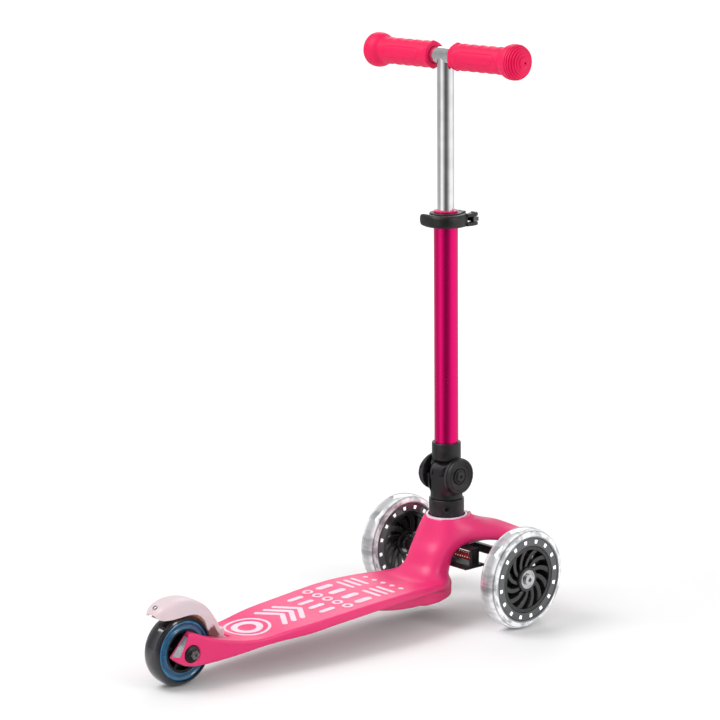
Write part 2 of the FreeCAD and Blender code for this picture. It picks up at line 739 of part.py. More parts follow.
def clamp_collar():
    x = STEM_X
    z = CLAMP_Z
    h = CLAMP_H
    r = CLAMP_RO
    ring = spin_z([(0, 0), (r - 0.8, 0), (r, 0.8), (r, h - 0.8), (r - 0.8, h), (0, h)], x, z)
    ears = box(x + 8, x + EAR_X + 4.0, -7.0, 7.0, z + 1.0, z + h - 1.0)
    ears = soften(ears, 2.5, lambda e: abs(e.BoundBox.ZLength) > 5 and e.BoundBox.XMin > x + 9)
    body = ring.fuse(ears)
    body = body.cut(rod(LOWER_TUBE_R, V(x, 0, z - 1), Z, 40))
    body = body.cut(box(x + 4, x + 60, -1.0, 1.0, z - 1, z + h + 1))
    body = body.cut(rod(3.0, V(x + EAR_X, -30, z + h / 2), Y, 60))
    return stem(body.removeSplitter())


def clamp_bolt():
    x = STEM_X + EAR_X
    z = CLAMP_Z + CLAMP_H / 2
    b = rod(3.0, V(x, -15.0, z), Y, 22.0)
    eye = box(x - 3.6, x + 4.5, PIN_Y - 4.4, -14.0, z - 2.4, z + 2.4)
    eye = eye.cut(rod(2.5, V(STEM_X + PIN_X, PIN_Y, z - 10), Z, 20))
    nut = rod(5.4, V(x, 7.0, z), Y, 4.6)
    return stem(b.fuse(eye).fuse(nut).removeSplitter())


def clamp_pin():
    p = rod(2.5, V(STEM_X + PIN_X, PIN_Y, CLAMP_Z + 0.6), Z, CLAMP_H - 0.8)
    p = p.fuse(rod(3.3, V(STEM_X + PIN_X, PIN_Y, CLAMP_Z + CLAMP_H - 0.2), Z, 1.2))
    return stem(p)


def clamp_lever():
    x = STEM_X
    z = CLAMP_Z
    h = CLAMP_H
    ri = CLAMP_RO + 1.6
    inner = []
    outer = []
    n = 26
    a0 = -58.0
    a1 = -222.0
    for i in range(n + 1):
        f = i / n
        a = math.radians(a0 + (a1 - a0) * f)
        w = 5.2 + 4.2 * math.sin(math.pi * min(1.0, f * 1.15)) ** 2
        if f > 0.9:
            w = w - 3.2 * (f - 0.9) * 10
        inner.append((x + ri * math.cos(a), ri * math.sin(a)))
        outer.append((x + (ri + w) * math.cos(a), (ri + w) * math.sin(a)))
    band = prism_xy(inner + outer[::-1], z + 0.4, z + h - 0.4)
    px = x + PIN_X
    eye = rod(5.0, V(px, PIN_Y, z + 0.4), Z, h - 0.8)
    a = math.radians(a0)
    link = [(px - 3.0, PIN_Y + 3.9), (px + 3.2, PIN_Y - 3.8)]
    link = link + [outer[2], outer[0], inner[0]]
    web = prism_xy(link, z + 0.4, z + h - 0.4)
    body = band.fuse(eye).fuse(web)
    room = box(px - 12, px + 20, PIN_Y - 6.2, PIN_Y + 20, z + h / 2 - 3.0, z + h / 2 + 3.0)
    body = body.cut(room)
    body = body.cut(rod(2.5 + RUN, V(px, PIN_Y, z - 1), Z, 30))
    body = body.cut(tube_room(x, z, h))
    return stem(body.removeSplitter())


def tube_room(x, z, h):
    """Keeps the lever clear of the collar's ears and bolt."""
    return box(x, x + EAR_X + 4.6, -8.0, 8.0, z - 1, z + h + 1)


def upper_tube():
    x = STEM_X
    z0 = 405.0 + (CLAMP_Z - 466.0)
    z1 = (BAR_Z + 0.0) / math.cos(math.radians(STEM_LEAN))
    t = tube(UPPER_TUBE_R, UPPER_TUBE_R - UPPER_TUBE_WALL, V(x, 0, z0), Z, z1 - z0)
    t = t.cut(box(x + UPPER_TUBE_R - 0.9, x + 20, -1.55, 1.55, z0 - 1, z1 - 24))
    t = stem(t)
    xb = STEM_X - math.tan(math.radians(STEM_LEAN)) * BAR_Z
    return t.cut(rod(UPPER_TUBE_R, V(xb, -30, BAR_Z), Y, 60))


BAR_X = STEM_X - math.tan(math.radians(STEM_LEAN)) * BAR_Z


def crossbar():
    h = BAR_WIDTH / 2 - 12.0
    return tube(UPPER_TUBE_R, UPPER_TUBE_R - 1.6, V(BAR_X, -h, BAR_Z), Y, 2 * h)


def end_plug():
    x = STEM_X
    z0 = 402.0 + (CLAMP_Z - 466.0)
    p = rod(TUBE_IN - RUN, V(x, 0, z0), Z, 24.0)
    p = p.cut(rod(UPPER_TUBE_R, V(x, 0, z0 + 3), Z, 40))
    return stem(p)


def grip(s):
    """Soft grip: hexagonal inner flange, scalloped barrel, stepped mushroom end."""
    h = BAR_WIDTH / 2
    r = GRIP_R
    pts = [(17.0, 0), (17.0, r - 0.4), (18.0, r + 0.6), (22.0, r + 0.6), (24.0, r - 0.6)]
    n = 5
    a = 26.0
    b = h - 30.0
    for i in range(n * 6 + 1):
        f = i / (n * 6.0)
        pts.append((a + (b - a) * f, r - 0.7 + 0.5 * math.cos(2 * math.pi * n * f)))
    pts.append((h - 27.5, r + 0.2))
    k = BULB_R
    pts = pts + [(h - 25.0, k * 0.86), (h - 22.0, k * 0.955), (h - 18.0, k), (h - 15.0, k)]
    for i in range(1, 7):
        t = math.radians(13.0 * i)
        y = h - 15.0 + 14.0 * math.sin(t)
        q = k * math.cos(t) ** 0.75
        pts.append((y - 1.3, q))
        pts.append((y, q - 0.1))
        pts.append((y, q - 0.9))
    pts.append((h, 3.4))
    pts.append((h, 0))
    body = spin_y([(p[0] * s, p[1]) for p in pts], BAR_X, 0, BAR_Z)
    body = body.cut(rod(UPPER_TUBE_R, V(BAR_X, 0, BAR_Z), V(0, s, 0), h - 12.0))
    body = body.cut(rod(1.3, V(BAR_X, s * (h - 14), BAR_Z), V(0, s, 0), 30))
    return body


# ---- rear wheel fittings and brake -------------------------------------------
CAP_FACE = 27.6


def rear_bolt():
    b = rod(AXLE_R, V(REAR_X, -CAP_FACE, REAR_R), Y, 2 * CAP_FACE + 2.4)
    h = hexagon(5.4, REAR_X, -CAP_FACE, REAR_R, -1, 3.2)
    h = h.cut(hexagon(2.5, REAR_X, -CAP_FACE - 1.4, REAR_R, -1, 3))
    return b.fuse(h).removeSplitter()


def rear_nut():
    n = hexagon(6.0, REAR_X, CAP_FACE, REAR_R, 1, 3.0)
    return n.cut(rod(AXLE_R, V(REAR_X, 20, REAR_R), Y, 20))


def rear_caps():
    """Domed washers let into the fork legs."""
    out = []
    d = CAP_FACE - 22.6
    a = AXLE_R
    pts = [(0, a), (0, 9.6), (d - 2.4, 9.6), (d - 1.0, 8.6), (d, 6.4), (d, a)]
    for s in (1, -1):
        out.append(spin_y([(s * p[0], p[1]) for p in pts], REAR_X, s * 22.6, REAR_R))
    return group(out)


def edge_through(points, y):
    c = Part.BSplineCurve()
    c.interpolate([V(p[0], y, p[1]) for p in points])
    return c


def curved_prism(top, low, half):
    """Prism across the wheel whose upper face is one smooth curve."""
    c = edge_through(top, -half)
    pts = [c.EndPoint] + [V(p[0], -half, p[1]) for p in low] + [c.StartPoint]
    edges = [c.toShape()] + [Part.makeLine(pts[i], pts[i + 1]) for i in range(len(pts) - 1)]
    return Part.Face(Part.Wire(edges)).extrude(V(0, 2 * half, 0))


def fender_plan(inset):
    """Plan view of the fender: narrow nose at the tail, full over the wheel, slim at its foot."""
    w = FENDER_HALF_W - inset
    side = [(-40.0, w - 10.0), (-34.0, w - 4.2), (-26.0, w - 1.2), (-12.0, w), (8.0, w), (26.0, w - 0.8)]
    side = side + [(40.0, w - 2.0), (52.0, w - 3.4), (70.0, w - 4.4)]
    rows = [(REAR_X + p[0] * REAR_K, p[1]) for p in side]
    a = Part.BSplineCurve()
    a.interpolate([V(p[0], p[1], -20) for p in rows])
    b = Part.BSplineCurve()
    b.interpolate([V(p[0], -p[1], -20) for p in rows])
    ends = [Part.makeLine(a.EndPoint, b.EndPoint), Part.makeLine(b.StartPoint, a.StartPoint)]
    wire = Part.Wire([a.toShape(), ends[0], b.toShape(), ends[1]])
    return Part.Face(wire).extrude(V(0, 0, 200))


FENDER_TOP = [(-36.5, 86.0), (-28, 93.0), (-16, 97.2), (-3, 98.2), (10, 96.2), (21, 91.6)]
FENDER_TOP = FENDER_TOP + [(31, 84.8), (40, 76), (47.5, 66), (53.5, 55.5), (57.5, 47.4)]
FENDER_LOW = [(50, 48.4), (40, 52.2), (31, 55.6), (27, 62), (23.5, 70), (15, 78.6), (-3, 81), (-16, 81), (-31, 80.6)]


def fender_place(p):
    return (REAR_X + p[0] * REAR_K, REAR_R + (p[1] - 40.0) * REAR_K)


def inward(points, d):
    """The same line of points moved square to itself by d, toward the wheel."""
    out = []
    n = len(points)
    for i in range(n):
        a = points[max(0, i - 1)]
        b = points[min(n - 1, i + 1)]
        g = math.hypot(b[0] - a[0], b[1] - a[1])
        out.append((points[i][0] + d * (b[1] - a[1]) / g, points[i][1] - d * (b[0] - a[0]) / g))
    return out


def fender():
    w = FENDER_HALF_W
    top = [fender_place(p) for p in FENDER_TOP]
    low = [fender_place(p) for p in FENDER_LOW]
    body = curved_prism(top, low, w + 1).common(fender_plan(0.0))
    crown = [e for e in body.Edges if e.Length > 60 * REAR_K and e.BoundBox.ZMax > REAR_R + 50 * REAR_K]
    crown = [e for e in crown if e.BoundBox.YLength < 12 and e.BoundBox.ZLength > 30 * REAR_K]
    if crown:
        body = body.makeFillet(5.0, crown)
    under = inward(top, 2.6)
    under[0] = fender_place((-44.0, 83.6))
    hollow_low = [fender_place(p) for p in [(47, 40), (20, 40), (-44, 60)]]
    body = body.cut(curved_prism(under, hollow_low, w + 1).common(fender_plan(2.4)))
    root = box(BRAKE_X - 8.0, BRAKE_X + 1.0, -12.4, 12.4, BRAKE_Z, BRAKE_Z + 12.0 * REAR_K)
    body = body.fuse(rod(5.0, V(BRAKE_X, -12.4, BRAKE_Z), Y, 24.8)).fuse(root)
    body = body.cut(rod(2.5 + RUN, V(BRAKE_X, -30, BRAKE_Z), Y, 60))
    body = body.cut(rod(REAR_R + 5.4, V(REAR_X, -14.4, REAR_R), Y, 28.8))
    x, z = fender_place((-21.0, 95.2))
    body = body.cut(rod(1.7, V(x, 0, z - 8), Z, 20))
    body = body.cut(rod(3.3, V(x, 0, z + 0.25), Z, 9))
    return body.removeSplitter()


def brake_plate(cover):
    """Curved steel pad under the fender that rubs on the rear tyre."""
    r = REAR_R + 6.6
    a = tube(r + 1.2, r, V(REAR_X, -11.0, REAR_R), Y, 22.0)
    k = REAR_K
    wedge = [(REAR_X, REAR_R), (REAR_X - 42 * k, REAR_R + 60 * k), (REAR_X + 9 * k, REAR_R + 60 * k)]
    a = a.common(prism_xz(wedge, -20, 20))
    x, z = fender_place((-21.0, 95.2))
    post = rod(3.4, V(x, 0, REAR_R + 40 * k), Z, z - REAR_R - 40 * k - 1.4)
    post = post.cut(rod(r + 0.6, V(REAR_X, -20, REAR_R), Y, 40)).cut(cover)
    post = post.cut(rod(1.7, V(x, 0, z - 8), Z, 20))
    return a.fuse(post).removeSplitter()


def brake_screw():
    x, z = fender_place((-21.0, 95.2))
    s = rod(1.7, V(x, 0, z - 5.2), Z, 5.5)
    head = rod(3.3, V(x, 0, z + 0.25), Z, 1.5).cut(rod(1.5, V(x, 0, z + 0.9), Z, 2))
    return s.fuse(head).removeSplitter()


def brake_spring():
    """Leaf spring between the deck and the underside of the fender's root."""
    a = BRAKE_X
    z = BRAKE_Z
    pts = [(a + 6.4, z - 9.6), (a - 0.5, z - 7.2), (a - 5.4, z - 4.6), (a - 7.6, z)]
    pts = pts + [(a - 6.6, z), (a - 4.6, z - 3.9), (a - 0.2, z - 6.2), (a + 6.4, z - 8.6)]
    return prism_xz(pts, -5.0, 5.0)


def build_all():
    save("deck_moulding", deck_moulding())
    save("deck_grip_print", grip_print())
    save("neck_ring", neck_ring())
    save("tilt_pivot_bolt", tilt_bolt())
    save("kingpins", kingpins())
    save("spring_bracket", bracket())
    save("centering_spring_left", centring_spring(1))
    save("centering_spring_right", centring_spring(-1))
    save("rear_axle_bolt", rear_bolt())
    save("rear_axle_nut", rear_nut())
    save("rear_axle_caps", rear_caps())
    save("rear_reflectors", reflectors())
    save("brake_pivot_pin", rod(2.5, V(BRAKE_X, -20, BRAKE_Z), Y, 40))
    save("stem_socket", stem_socket())
    save("socket_screw", socket_screw())
    save("fold_yoke", fold_yoke())
    save("fold_pivot_pin", fold_pin())
    save("fold_cap", fold_cap())
    save("button_spring", button_spring())
    save("fold_button", fold_button())
    save("fold_socket", fold_socket())
    save("lower_tube", lower_tube())
    save("tube_cross_pin", cross_pin())
    save("guide_bush", guide_bush())
    save("clamp_collar", clamp_collar())
    save("clamp_bolt", clamp_bolt())
    save("clamp_pin", clamp_pin())
    save("clamp_lever", clamp_lever())
    save("upper_tube", upper_tube())
    save("crossbar", crossbar())
    save("tube_end_plug", end_plug())
    save("tie_rod", tie_rod())
    for side, s in (("left", 1), ("right", -1)):
        y = s * WHEEL_Y
        h = TYRE_W / 2 - 1.0
        save("grip_" + side, grip(s))
        save("knuckle_" + side, knuckle(s))
        save("front_axle_" + side, front_axle(s))
        save("front_tyre_" + side, tyre(FRONT_X, y, FRONT_R, FRONT_R, FRONT_R - 10, TYRE_W))
        rim = wheel_rim(FRONT_X, y, FRONT_R, FRONT_R - 10, FRONT_R - 20, TYRE_W)
        leds = led_capsules(FRONT_X, y, FRONT_R, FRONT_R - 15.5, 16)
        save("front_rim_" + side, rim.cut(leds))
        save("front_leds_" + side, leds)
        save("front_hub_" + side, front_hub(y, s))
        save("front_bearings_" + side, bearing_pair(FRONT_X, y, FRONT_R, h))
        save("front_spacer_" + side, wheel_spacer(FRONT_X, y, FRONT_R, h))
    save("rear_tyre", tyre(REAR_X, 0, REAR_R, REAR_R, REAR_R - 6, TYRE_W))
    save("rear_rim", wheel_rim(REAR_X, 0, REAR_R, REAR_R - 6, REAR_R - 16, TYRE_W))
    save("rear_hub", rear_hub())
    save("rear_bearings", bearing_pair(REAR_X, 0, REAR_R, TYRE_W / 2 - 1.5))
    save("rear_spacer", wheel_spacer(REAR_X, 0, REAR_R, TYRE_W / 2 - 1.5))
    cover = fender()
    save("brake_fender", cover)
    save("brake_plate", brake_plate(cover))
    save("brake_screw", brake_screw())
    save("brake_spring", brake_spring())


os.makedirs("parts", exist_ok=True)
build_all()
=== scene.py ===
import json
import math

import bpy
import numpy as np
import openvdb
from mathutils import Matrix, Vector


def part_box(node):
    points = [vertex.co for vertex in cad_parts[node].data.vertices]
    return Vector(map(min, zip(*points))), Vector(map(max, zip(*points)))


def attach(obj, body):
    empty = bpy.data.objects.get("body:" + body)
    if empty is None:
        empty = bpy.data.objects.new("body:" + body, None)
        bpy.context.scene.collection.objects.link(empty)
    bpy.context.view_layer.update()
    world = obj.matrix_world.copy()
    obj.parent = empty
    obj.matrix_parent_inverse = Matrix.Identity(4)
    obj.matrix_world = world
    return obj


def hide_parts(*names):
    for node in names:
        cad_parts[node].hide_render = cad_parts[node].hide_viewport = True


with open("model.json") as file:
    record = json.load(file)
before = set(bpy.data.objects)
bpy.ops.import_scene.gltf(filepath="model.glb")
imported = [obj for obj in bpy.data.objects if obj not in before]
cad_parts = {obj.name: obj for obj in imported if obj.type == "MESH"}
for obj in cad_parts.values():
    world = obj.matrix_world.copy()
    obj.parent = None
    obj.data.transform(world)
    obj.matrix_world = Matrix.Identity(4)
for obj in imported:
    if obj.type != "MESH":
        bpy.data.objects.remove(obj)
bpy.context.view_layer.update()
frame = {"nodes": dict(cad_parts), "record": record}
NODES = frame["nodes"]
MM = 0.001

# ---- places, some read from the imported frame and the rest given, in mm --------


def middle(node):
    low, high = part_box(node)
    return [(low[i] + high[i]) / 2 / MM for i in range(3)]


REAR_X, _, REAR_Z = middle("rear_tyre")
FRONT_X, WHEEL_Y, FRONT_Z = middle("front_tyre_left")
BAR_X, _, BAR_Z = middle("crossbar")
BAR_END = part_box("grip_left")[1][1] / MM
STEM_LEAN = math.radians(1.814)
STEM_FOOT_X = FRONT_X - 20.2
NECK_TOP = 118.0
ARM_END = 78.0
WHEEL_R = 60.0
FOLD_Z = 170.0
CLAMP_Z = 474.0
KING_Y = WHEEL_Y - 33.3


def rear(x):
    """Station along the deck, counted forward from the rear axle."""
    return REAR_X + x


def front(x):
    """Station near the front axle, on the same count."""
    return FRONT_X + (x - 431.2)


# ---- small mesh helpers --------------------------------------------------------


def placed_piece(name, verts, faces, centre, body, stands_for=(), smooth=True):
    """A piece whose own origin sits at centre, so its finish can be laid out round that point."""
    mesh = bpy.data.meshes.new(name)
    mesh.from_pydata([tuple(float(c) * MM for c in v) for v in verts], [], faces)
    mesh.validate()
    mesh.update()
    if smooth:
        mesh.shade_smooth()
    piece = bpy.data.objects.new(name, mesh)
    piece.location = [c * MM for c in centre]
    bpy.context.scene.collection.objects.link(piece)
    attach(piece, body)
    if stands_for:
        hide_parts(*stands_for)
    return piece


def make_piece(name, verts, faces, body, stands_for=(), smooth=True):
    """A piece drawn straight in the frame's own places."""
    return placed_piece(name, verts, faces, (0, 0, 0), body, stands_for, smooth)


def add_bevel(piece, width, segments=3, angle=35.0):
    m = piece.modifiers.new("rounded edges", "BEVEL")
    m.width = width * MM
    m.segments = segments
    m.limit_method = "ANGLE"
    m.angle_limit = math.radians(angle)
    m.harden_normals = False
    return m


def smooth_line(xs, ys, x):
    """Natural cubic spline through the stations, read at x."""
    xs = np.asarray(xs, float)
    ys = np.asarray(ys, float)
    n = len(xs)
    h = np.diff(xs)
    a = np.zeros((n, n))
    b = np.zeros(n)
    a[0, 0] = a[-1, -1] = 1.0
    for i in range(1, n - 1):
        a[i, i - 1] = h[i - 1]
        a[i, i] = 2 * (h[i - 1] + h[i])
        a[i, i + 1] = h[i]
        b[i] = 6 * ((ys[i + 1] - ys[i]) / h[i] - (ys[i] - ys[i - 1]) / h[i - 1])
    m = np.linalg.solve(a, b)
    x = np.clip(x, xs[0], xs[-1])
    k = np.clip(np.searchsorted(xs, x) - 1, 0, n - 2)
    t = x - xs[k]
    s = (ys[k + 1] - ys[k]) / h[k] - h[k] * (2 * m[k] + m[k + 1]) / 6
    return ys[k] + t * s + t * t * m[k] / 2 + t ** 3 * (m[k + 1] - m[k]) / (6 * h[k])


# ---- the deck moulding as one smooth solid -------------------------------------
DECK = np.array([
    # station, top, underside, half width
    (-28.0, 62.5, 42.5, 24.8),
    (-14.0, 64.0, 30.6, 25.1),
    (0.0, 63.4, 25.4, 25.6),
    (16.0, 56.8, 24.3, 27.2),
    (34.0, 50.5, 25.2, 29.5),
    (58.0, 45.0, 28.0, 34.5),
    (90.0, 42.6, 32.8, 40.6),
    (120.0, 45.6, 35.0, 45.0),
    (150.0, 48.0, 36.0, 48.4),
    (180.0, 50.0, 38.5, 49.9),
    (210.0, 52.0, 40.8, 51.3),
    (240.0, 53.8, 43.0, 52.3),
    (270.0, 54.8, 44.5, 52.1),
    (300.0, 54.7, 44.8, 49.8),
    (330.0, 53.6, 44.3, 46.4),
    (358.0, 52.6, 43.6, 42.0),
    (376.0, 52.0, 43.0, 36.0),
    (386.0, 51.6, 42.8, 27.0),
])
BELLY = np.array([
    # station, top, underside, half width
    (238.0, 50.0, 43.0, 24.0),
    (258.0, 50.0, 37.5, 29.0),
    (285.0, 50.0, 31.5, 31.0),
    (315.0, 50.0, 28.0, 32.0),
    (345.0, 50.0, 27.2, 32.0),
    (372.0, 50.0, 28.2, 31.5),
    (388.0, 50.0, 31.0, 30.0),
])
NECK = np.array([
    # height, rear station, front station, half width, roundness
    (34.0, 346.0, 389.0, 31.0, 3.2),
    (46.0, 347.0, 391.0, 31.0, 3.0),
    (58.0, 353.0, 393.5, 29.5, 2.9),
    (70.0, 360.5, 398.0, 28.2, 2.8),
    (82.0, 366.0, 405.0, 28.8, 2.6),
    (94.0, 374.0, 420.0, 30.4, 2.4),
    (106.0, 380.5, 434.0, 29.2, 2.2),
    (118.0, 382.4, 432.2, 24.9, 2.0),
])
ARM = np.array([
    # distance out, rear and front station, underside, top, lean
    (0.0, 386.0, 443.0, 87.0, 116.5, 0.0),
    (18.0, 388.0, 448.0, 88.0, 117.0, 0.2),
    (32.0, 403.0, 456.0, 90.0, 115.5, 0.5),
    (45.0, 418.0, 463.0, 93.5, 112.0, 0.6),
    (58.0, 433.0, 469.0, 93.9, 108.0, 0.6),
    (70.0, 444.0, 473.0, 94.0, 105.5, 0.5),
    (78.0, 450.0, 474.0, 94.0, 104.0, 0.4),
])


def deck_top(x):
    """Height of the standing surface at a station."""
    return smooth_line(DECK[:, 0], DECK[:, 1], x)


def melt(a, b, k):
    """Joins two solids with a fillet of about radius k."""
    h = np.maximum(k - np.abs(a - b), 0.0) / k
    return np.minimum(a, b) - h * h * k * 0.25


def carve(a, b, k=0.6):
    """Cuts b out of a, with a small softened lip."""
    return -melt(-a, b, k)


def slab(table, x, y, z, r):
    """Distance to a bar whose rounded section changes along its stations."""
    top = smooth_line(table[:, 0], table[:, 1], x)
    low = smooth_line(table[:, 0], table[:, 2], x)
    half = smooth_line(table[:, 0], table[:, 3], x)
    r = np.minimum(r, (top - low) / 2)
    u = np.abs(y) - (half - r)
    v = np.abs(z - (top + low) / 2) - ((top - low) / 2 - r)
    d = np.hypot(np.maximum(u, 0), np.maximum(v, 0)) + np.minimum(np.maximum(u, v), 0) - r
    ends = np.maximum(table[0, 0] - x, x - table[-1, 0])
    return np.maximum(d, ends)


def even_out(f, step):
    """Turns a field that is zero on a surface into a near distance."""
    g = np.gradient(f, step)
    n = np.sqrt(g[0] ** 2 + g[1] ** 2 + g[2] ** 2)
    return f / np.maximum(n, 0.004)


def upright_oval(table, x, y, z):
    cz = np.clip(z, table[0, 0], table[-1, 0])
    a0 = smooth_line(table[:, 0], table[:, 1], cz)
    a1 = smooth_line(table[:, 0], table[:, 2], cz)
    b = smooth_line(table[:, 0], table[:, 3], cz)
    p = smooth_line(table[:, 0], table[:, 4], cz)
    u = np.abs(x - (a0 + a1) / 2) / ((a1 - a0) / 2)
    v = np.abs(y) / b
    return (u ** p + v ** p) ** (1 / p) - 1


def crossways_oval(table, x, y, z, p):
    w = np.clip(np.abs(y), 0, table[-1, 0])
    a0 = smooth_line(table[:, 0], table[:, 1], w)
    a1 = smooth_line(table[:, 0], table[:, 2], w)
    b0 = smooth_line(table[:, 0], table[:, 3], w)
    b1 = smooth_line(table[:, 0], table[:, 4], w)
    slope = smooth_line(table[:, 0], table[:, 5], w)
    rise = z - (b0 + b1) / 2
    u = np.abs(x - (a0 + a1) / 2 - slope * rise) / ((a1 - a0) / 2)
    v = np.abs(rise) / ((b1 - b0) / 2)
    return (u ** p + v ** p) ** (1 / p) - 1


def block(x, y, z, lo, hi):
    d = np.maximum(lo[0] - x, x - hi[0])
    d = np.maximum(d, np.maximum(lo[1] - y, y - hi[1]))
    return np.maximum(d, np.maximum(lo[2] - z, z - hi[2]))


def moulding_field(step):
    """Signed distance of the moulding on a grid; stations count from the rear axle."""
    xs = np.arange(-40.0, 488.0, step)
    ys = np.arange(-84.0, 84.0 + step, step)
    zs = np.arange(18.0, 126.0, step)
    x = xs[:, None, None]
    y = ys[None, :, None]
    z = zs[None, None, :]
    board = slab(DECK, x, y, z, 2.8)
    keel = slab(BELLY, x, y, z, 3.0)
    neck = even_out(upright_oval(NECK, x, y, z), step)
    neck = np.maximum(neck, np.maximum(33.0 - z, z - NECK_TOP))
    arm = even_out(crossways_oval(ARM, x, y, z, 2.6), step)
    arm = -melt(-arm, ARM_END - np.abs(y), 5.0)
    top = melt(neck, arm, 16.0)
    boss = np.hypot(x - 458.2, np.abs(y) - KING_Y) - 9.0
    top = melt(top, np.maximum(boss, np.abs(z - 96.3) - 2.5), 3.0)
    body = melt(board, keel, 2.5)
    fillet = 4.0 + 12.0 * np.clip((395.0 - x) / 30.0, 0, 1)
    body = melt(body, top, fillet)
    # wheel slot, brake hinge and axle seats
    radial = np.hypot(x - 44.0, y)
    slot = np.minimum(np.maximum(x - 44.0, np.abs(y) - 14.4), radial - 14.4)
    slot = np.minimum(slot, block(x, y, z, (0, -13.6, 0), (63.0, 13.6, 120)))
    body = carve(body, slot)
    axle = np.hypot(x, z - REAR_Z)
    body = carve(body, np.maximum(axle - 9.7, 22.6 - np.abs(y)))
    body = carve(body, axle - 4.0)
    # mouth and shank of the leaning socket
    cx = 411.0 - math.tan(STEM_LEAN) * z
    off = np.hypot(x - cx, y)
    mouth = np.maximum(off - 22.3, NECK_TOP - 1.5 - z)
    shank = np.maximum(off - 17.0, 92.0 - z)
    tail = block(x, y, z, (399.0, -17.0, 58.0), (419.0, 17.0, 96.0))
    body = carve(body, np.minimum(np.minimum(mouth, shank), tail))
    seat = np.maximum(off - 24.6, NECK_TOP - 1.0 - z)
    body = carve(body, seat, 0.3)
    bolt = np.maximum(np.hypot(y, z - 112.0) - 6.5, 440.0 - x)
    body = carve(body, bolt)
    body = carve(body, block(x, y, z, (391.0, -50.2, 64.3), (422.0, 50.2, 67.7)), 0.3)
    # shallow ribbed hollows under the board
    low = smooth_line(DECK[:, 0], DECK[:, 2], x)
    half = smooth_line(DECK[:, 0], DECK[:, 3], x)
    cell = np.abs((x - 72.0) % 24.0 - 12.0) - 10.6
    lane = np.abs(np.abs(y) - half / 2) - (half / 2 - 6.0)
    hollow = np.maximum(np.maximum(cell, lane), z - (low + 3.2))
    hollow = np.maximum(hollow, np.maximum(74.0 - x, x - 236.0))
    body = carve(body, hollow, 1.2)
    return xs, ys, zs, body


def leg_end(y, z):
    """Station of the slanted, slightly twisted end of the fork legs."""
    f = (np.abs(y) - 10.0) / 20.0
    ax, az = 13.2 + (-3.6 - 13.2) * f, 73.0 + (74.0 - 73.0) * f
    bx, bz = -45.7 + (-14.9 + 45.7) * f, 24.8 + (20.2 - 24.8) * f
    slope = (bx - ax) / (bz - az)
    return ax + (z - az) * slope, slope


def build_moulding():
    step = 1.25
    xs, ys, zs, body = moulding_field(step)
    x = xs[:, None, None]
    y = ys[None, :, None]
    z = zs[None, None, :]
    end, slope = leg_end(y, z)
    behind = (x - end) / np.sqrt(1 + slope ** 2)
    body = carve(body, behind, 1.0)
    window = np.maximum(np.abs(np.abs(y) - 20.05) - 3.85, np.abs(z - 49.0) - 10.5)
    body = carve(body, np.maximum(behind - 1.0, window), 0.3)
    grid = openvdb.FloatGrid()
    grid.background = 6.0
    grid.copyFromArray(np.clip(body, -6, 6).astype(np.float32))
    points, quads = grid.convertToQuads(0.0)
    origin = np.array([REAR_X + xs[0], ys[0], zs[0]])
    verts = points * step + origin
    faces = [tuple(int(i) for i in q) for q in quads]
    return make_piece("deck_shell", verts, faces, "deck", ["deck_moulding"])


def build_reflectors():
    """Honeycomb strip let into the end of each fork leg."""
    rows, cols = 14, 6
    out = []
    for name, side in (("left", 1), ("right", -1)):
        verts = []
        for depth in (0.35, 1.3):
            for i in range(rows + 1):
                for j in range(cols + 1):
                    z = 38.9 + 20.2 * i / rows
                    y = 16.5 + 7.1 * j / cols
                    x, slope = leg_end(y, z)
                    verts.append((rear(x + depth), side * y, z))
        n = (rows + 1) * (cols + 1)
        faces = grid_faces(rows, cols, 0) + [tuple(reversed(f)) for f in grid_faces(rows, cols, n)]
        faces += rim_faces(rows, cols, n)
        out.append(make_piece("reflector_" + name, verts, faces, "deck",
                              ["rear_reflectors"] if side > 0 else (), smooth=False))
    return out


def grid_faces(rows, cols, start):
    w = cols + 1
    return [(start + i * w + j, start + i * w + j + 1, start + (i + 1) * w + j + 1, start + (i + 1) * w + j)
            for i in range(rows) for j in range(cols)]


def rim_faces(rows, cols, n):
    w = cols + 1
    loop = [j for j in range(cols)] + [i * w + cols for i in range(rows)]
    loop += [rows * w + j for j in range(cols, 0, -1)] + [i * w for i in range(rows, 0, -1)]
    return [(a, a + n, b + n, b) for a, b in zip(loop, loop[1:] + loop[:1])]


def turned(name, profile, centre, body, slot, stands_for=(), count=112, bulge=None):
    """Ring or disc turned about a line along Y; profile holds (along, radius) pairs in order round it."""
    verts = []
    for i in range(count):
        t = 2 * math.pi * i / count
        for a, r in profile:
            q = r + (bulge(a, t) if bulge else 0.0)
            verts.append((q * math.cos(t), a, q * math.sin(t)))
    n = len(profile)
    faces = []
    for i in range(count):
        k = ((i + 1) % count) * n
        for j in range(n):
            m = (j + 1) % n
            faces.append((i * n + j, k + j, k + m, i * n + m))
    return placed_piece(name, verts, faces, centre, body, stands_for)


def crease(piece, angle=32.0):
    """Keeps turned corners crisp while the curves stay smooth."""
    piece.data.set_sharp_from_angle(angle=math.radians(angle))
    return piece


# ---- front wheels ----------------------------------------------------------------


def tyre_section(outer, inner, half, steps=22):
    """Round-crowned tyre section, as (along, radius) pairs."""
    pts = [(-half + 0.4, inner), (-half, inner + 0.5), (-half, inner + 2.0)]
    for i in range(1, steps):
        t = math.pi * (i / steps)
        pts.append((-half * math.cos(t), inner + 2.0 + (outer - inner - 2.0) * math.sin(t) ** 0.62))
    return pts + [(half, inner + 2.0), (half, inner + 0.5), (half - 0.4, inner)]


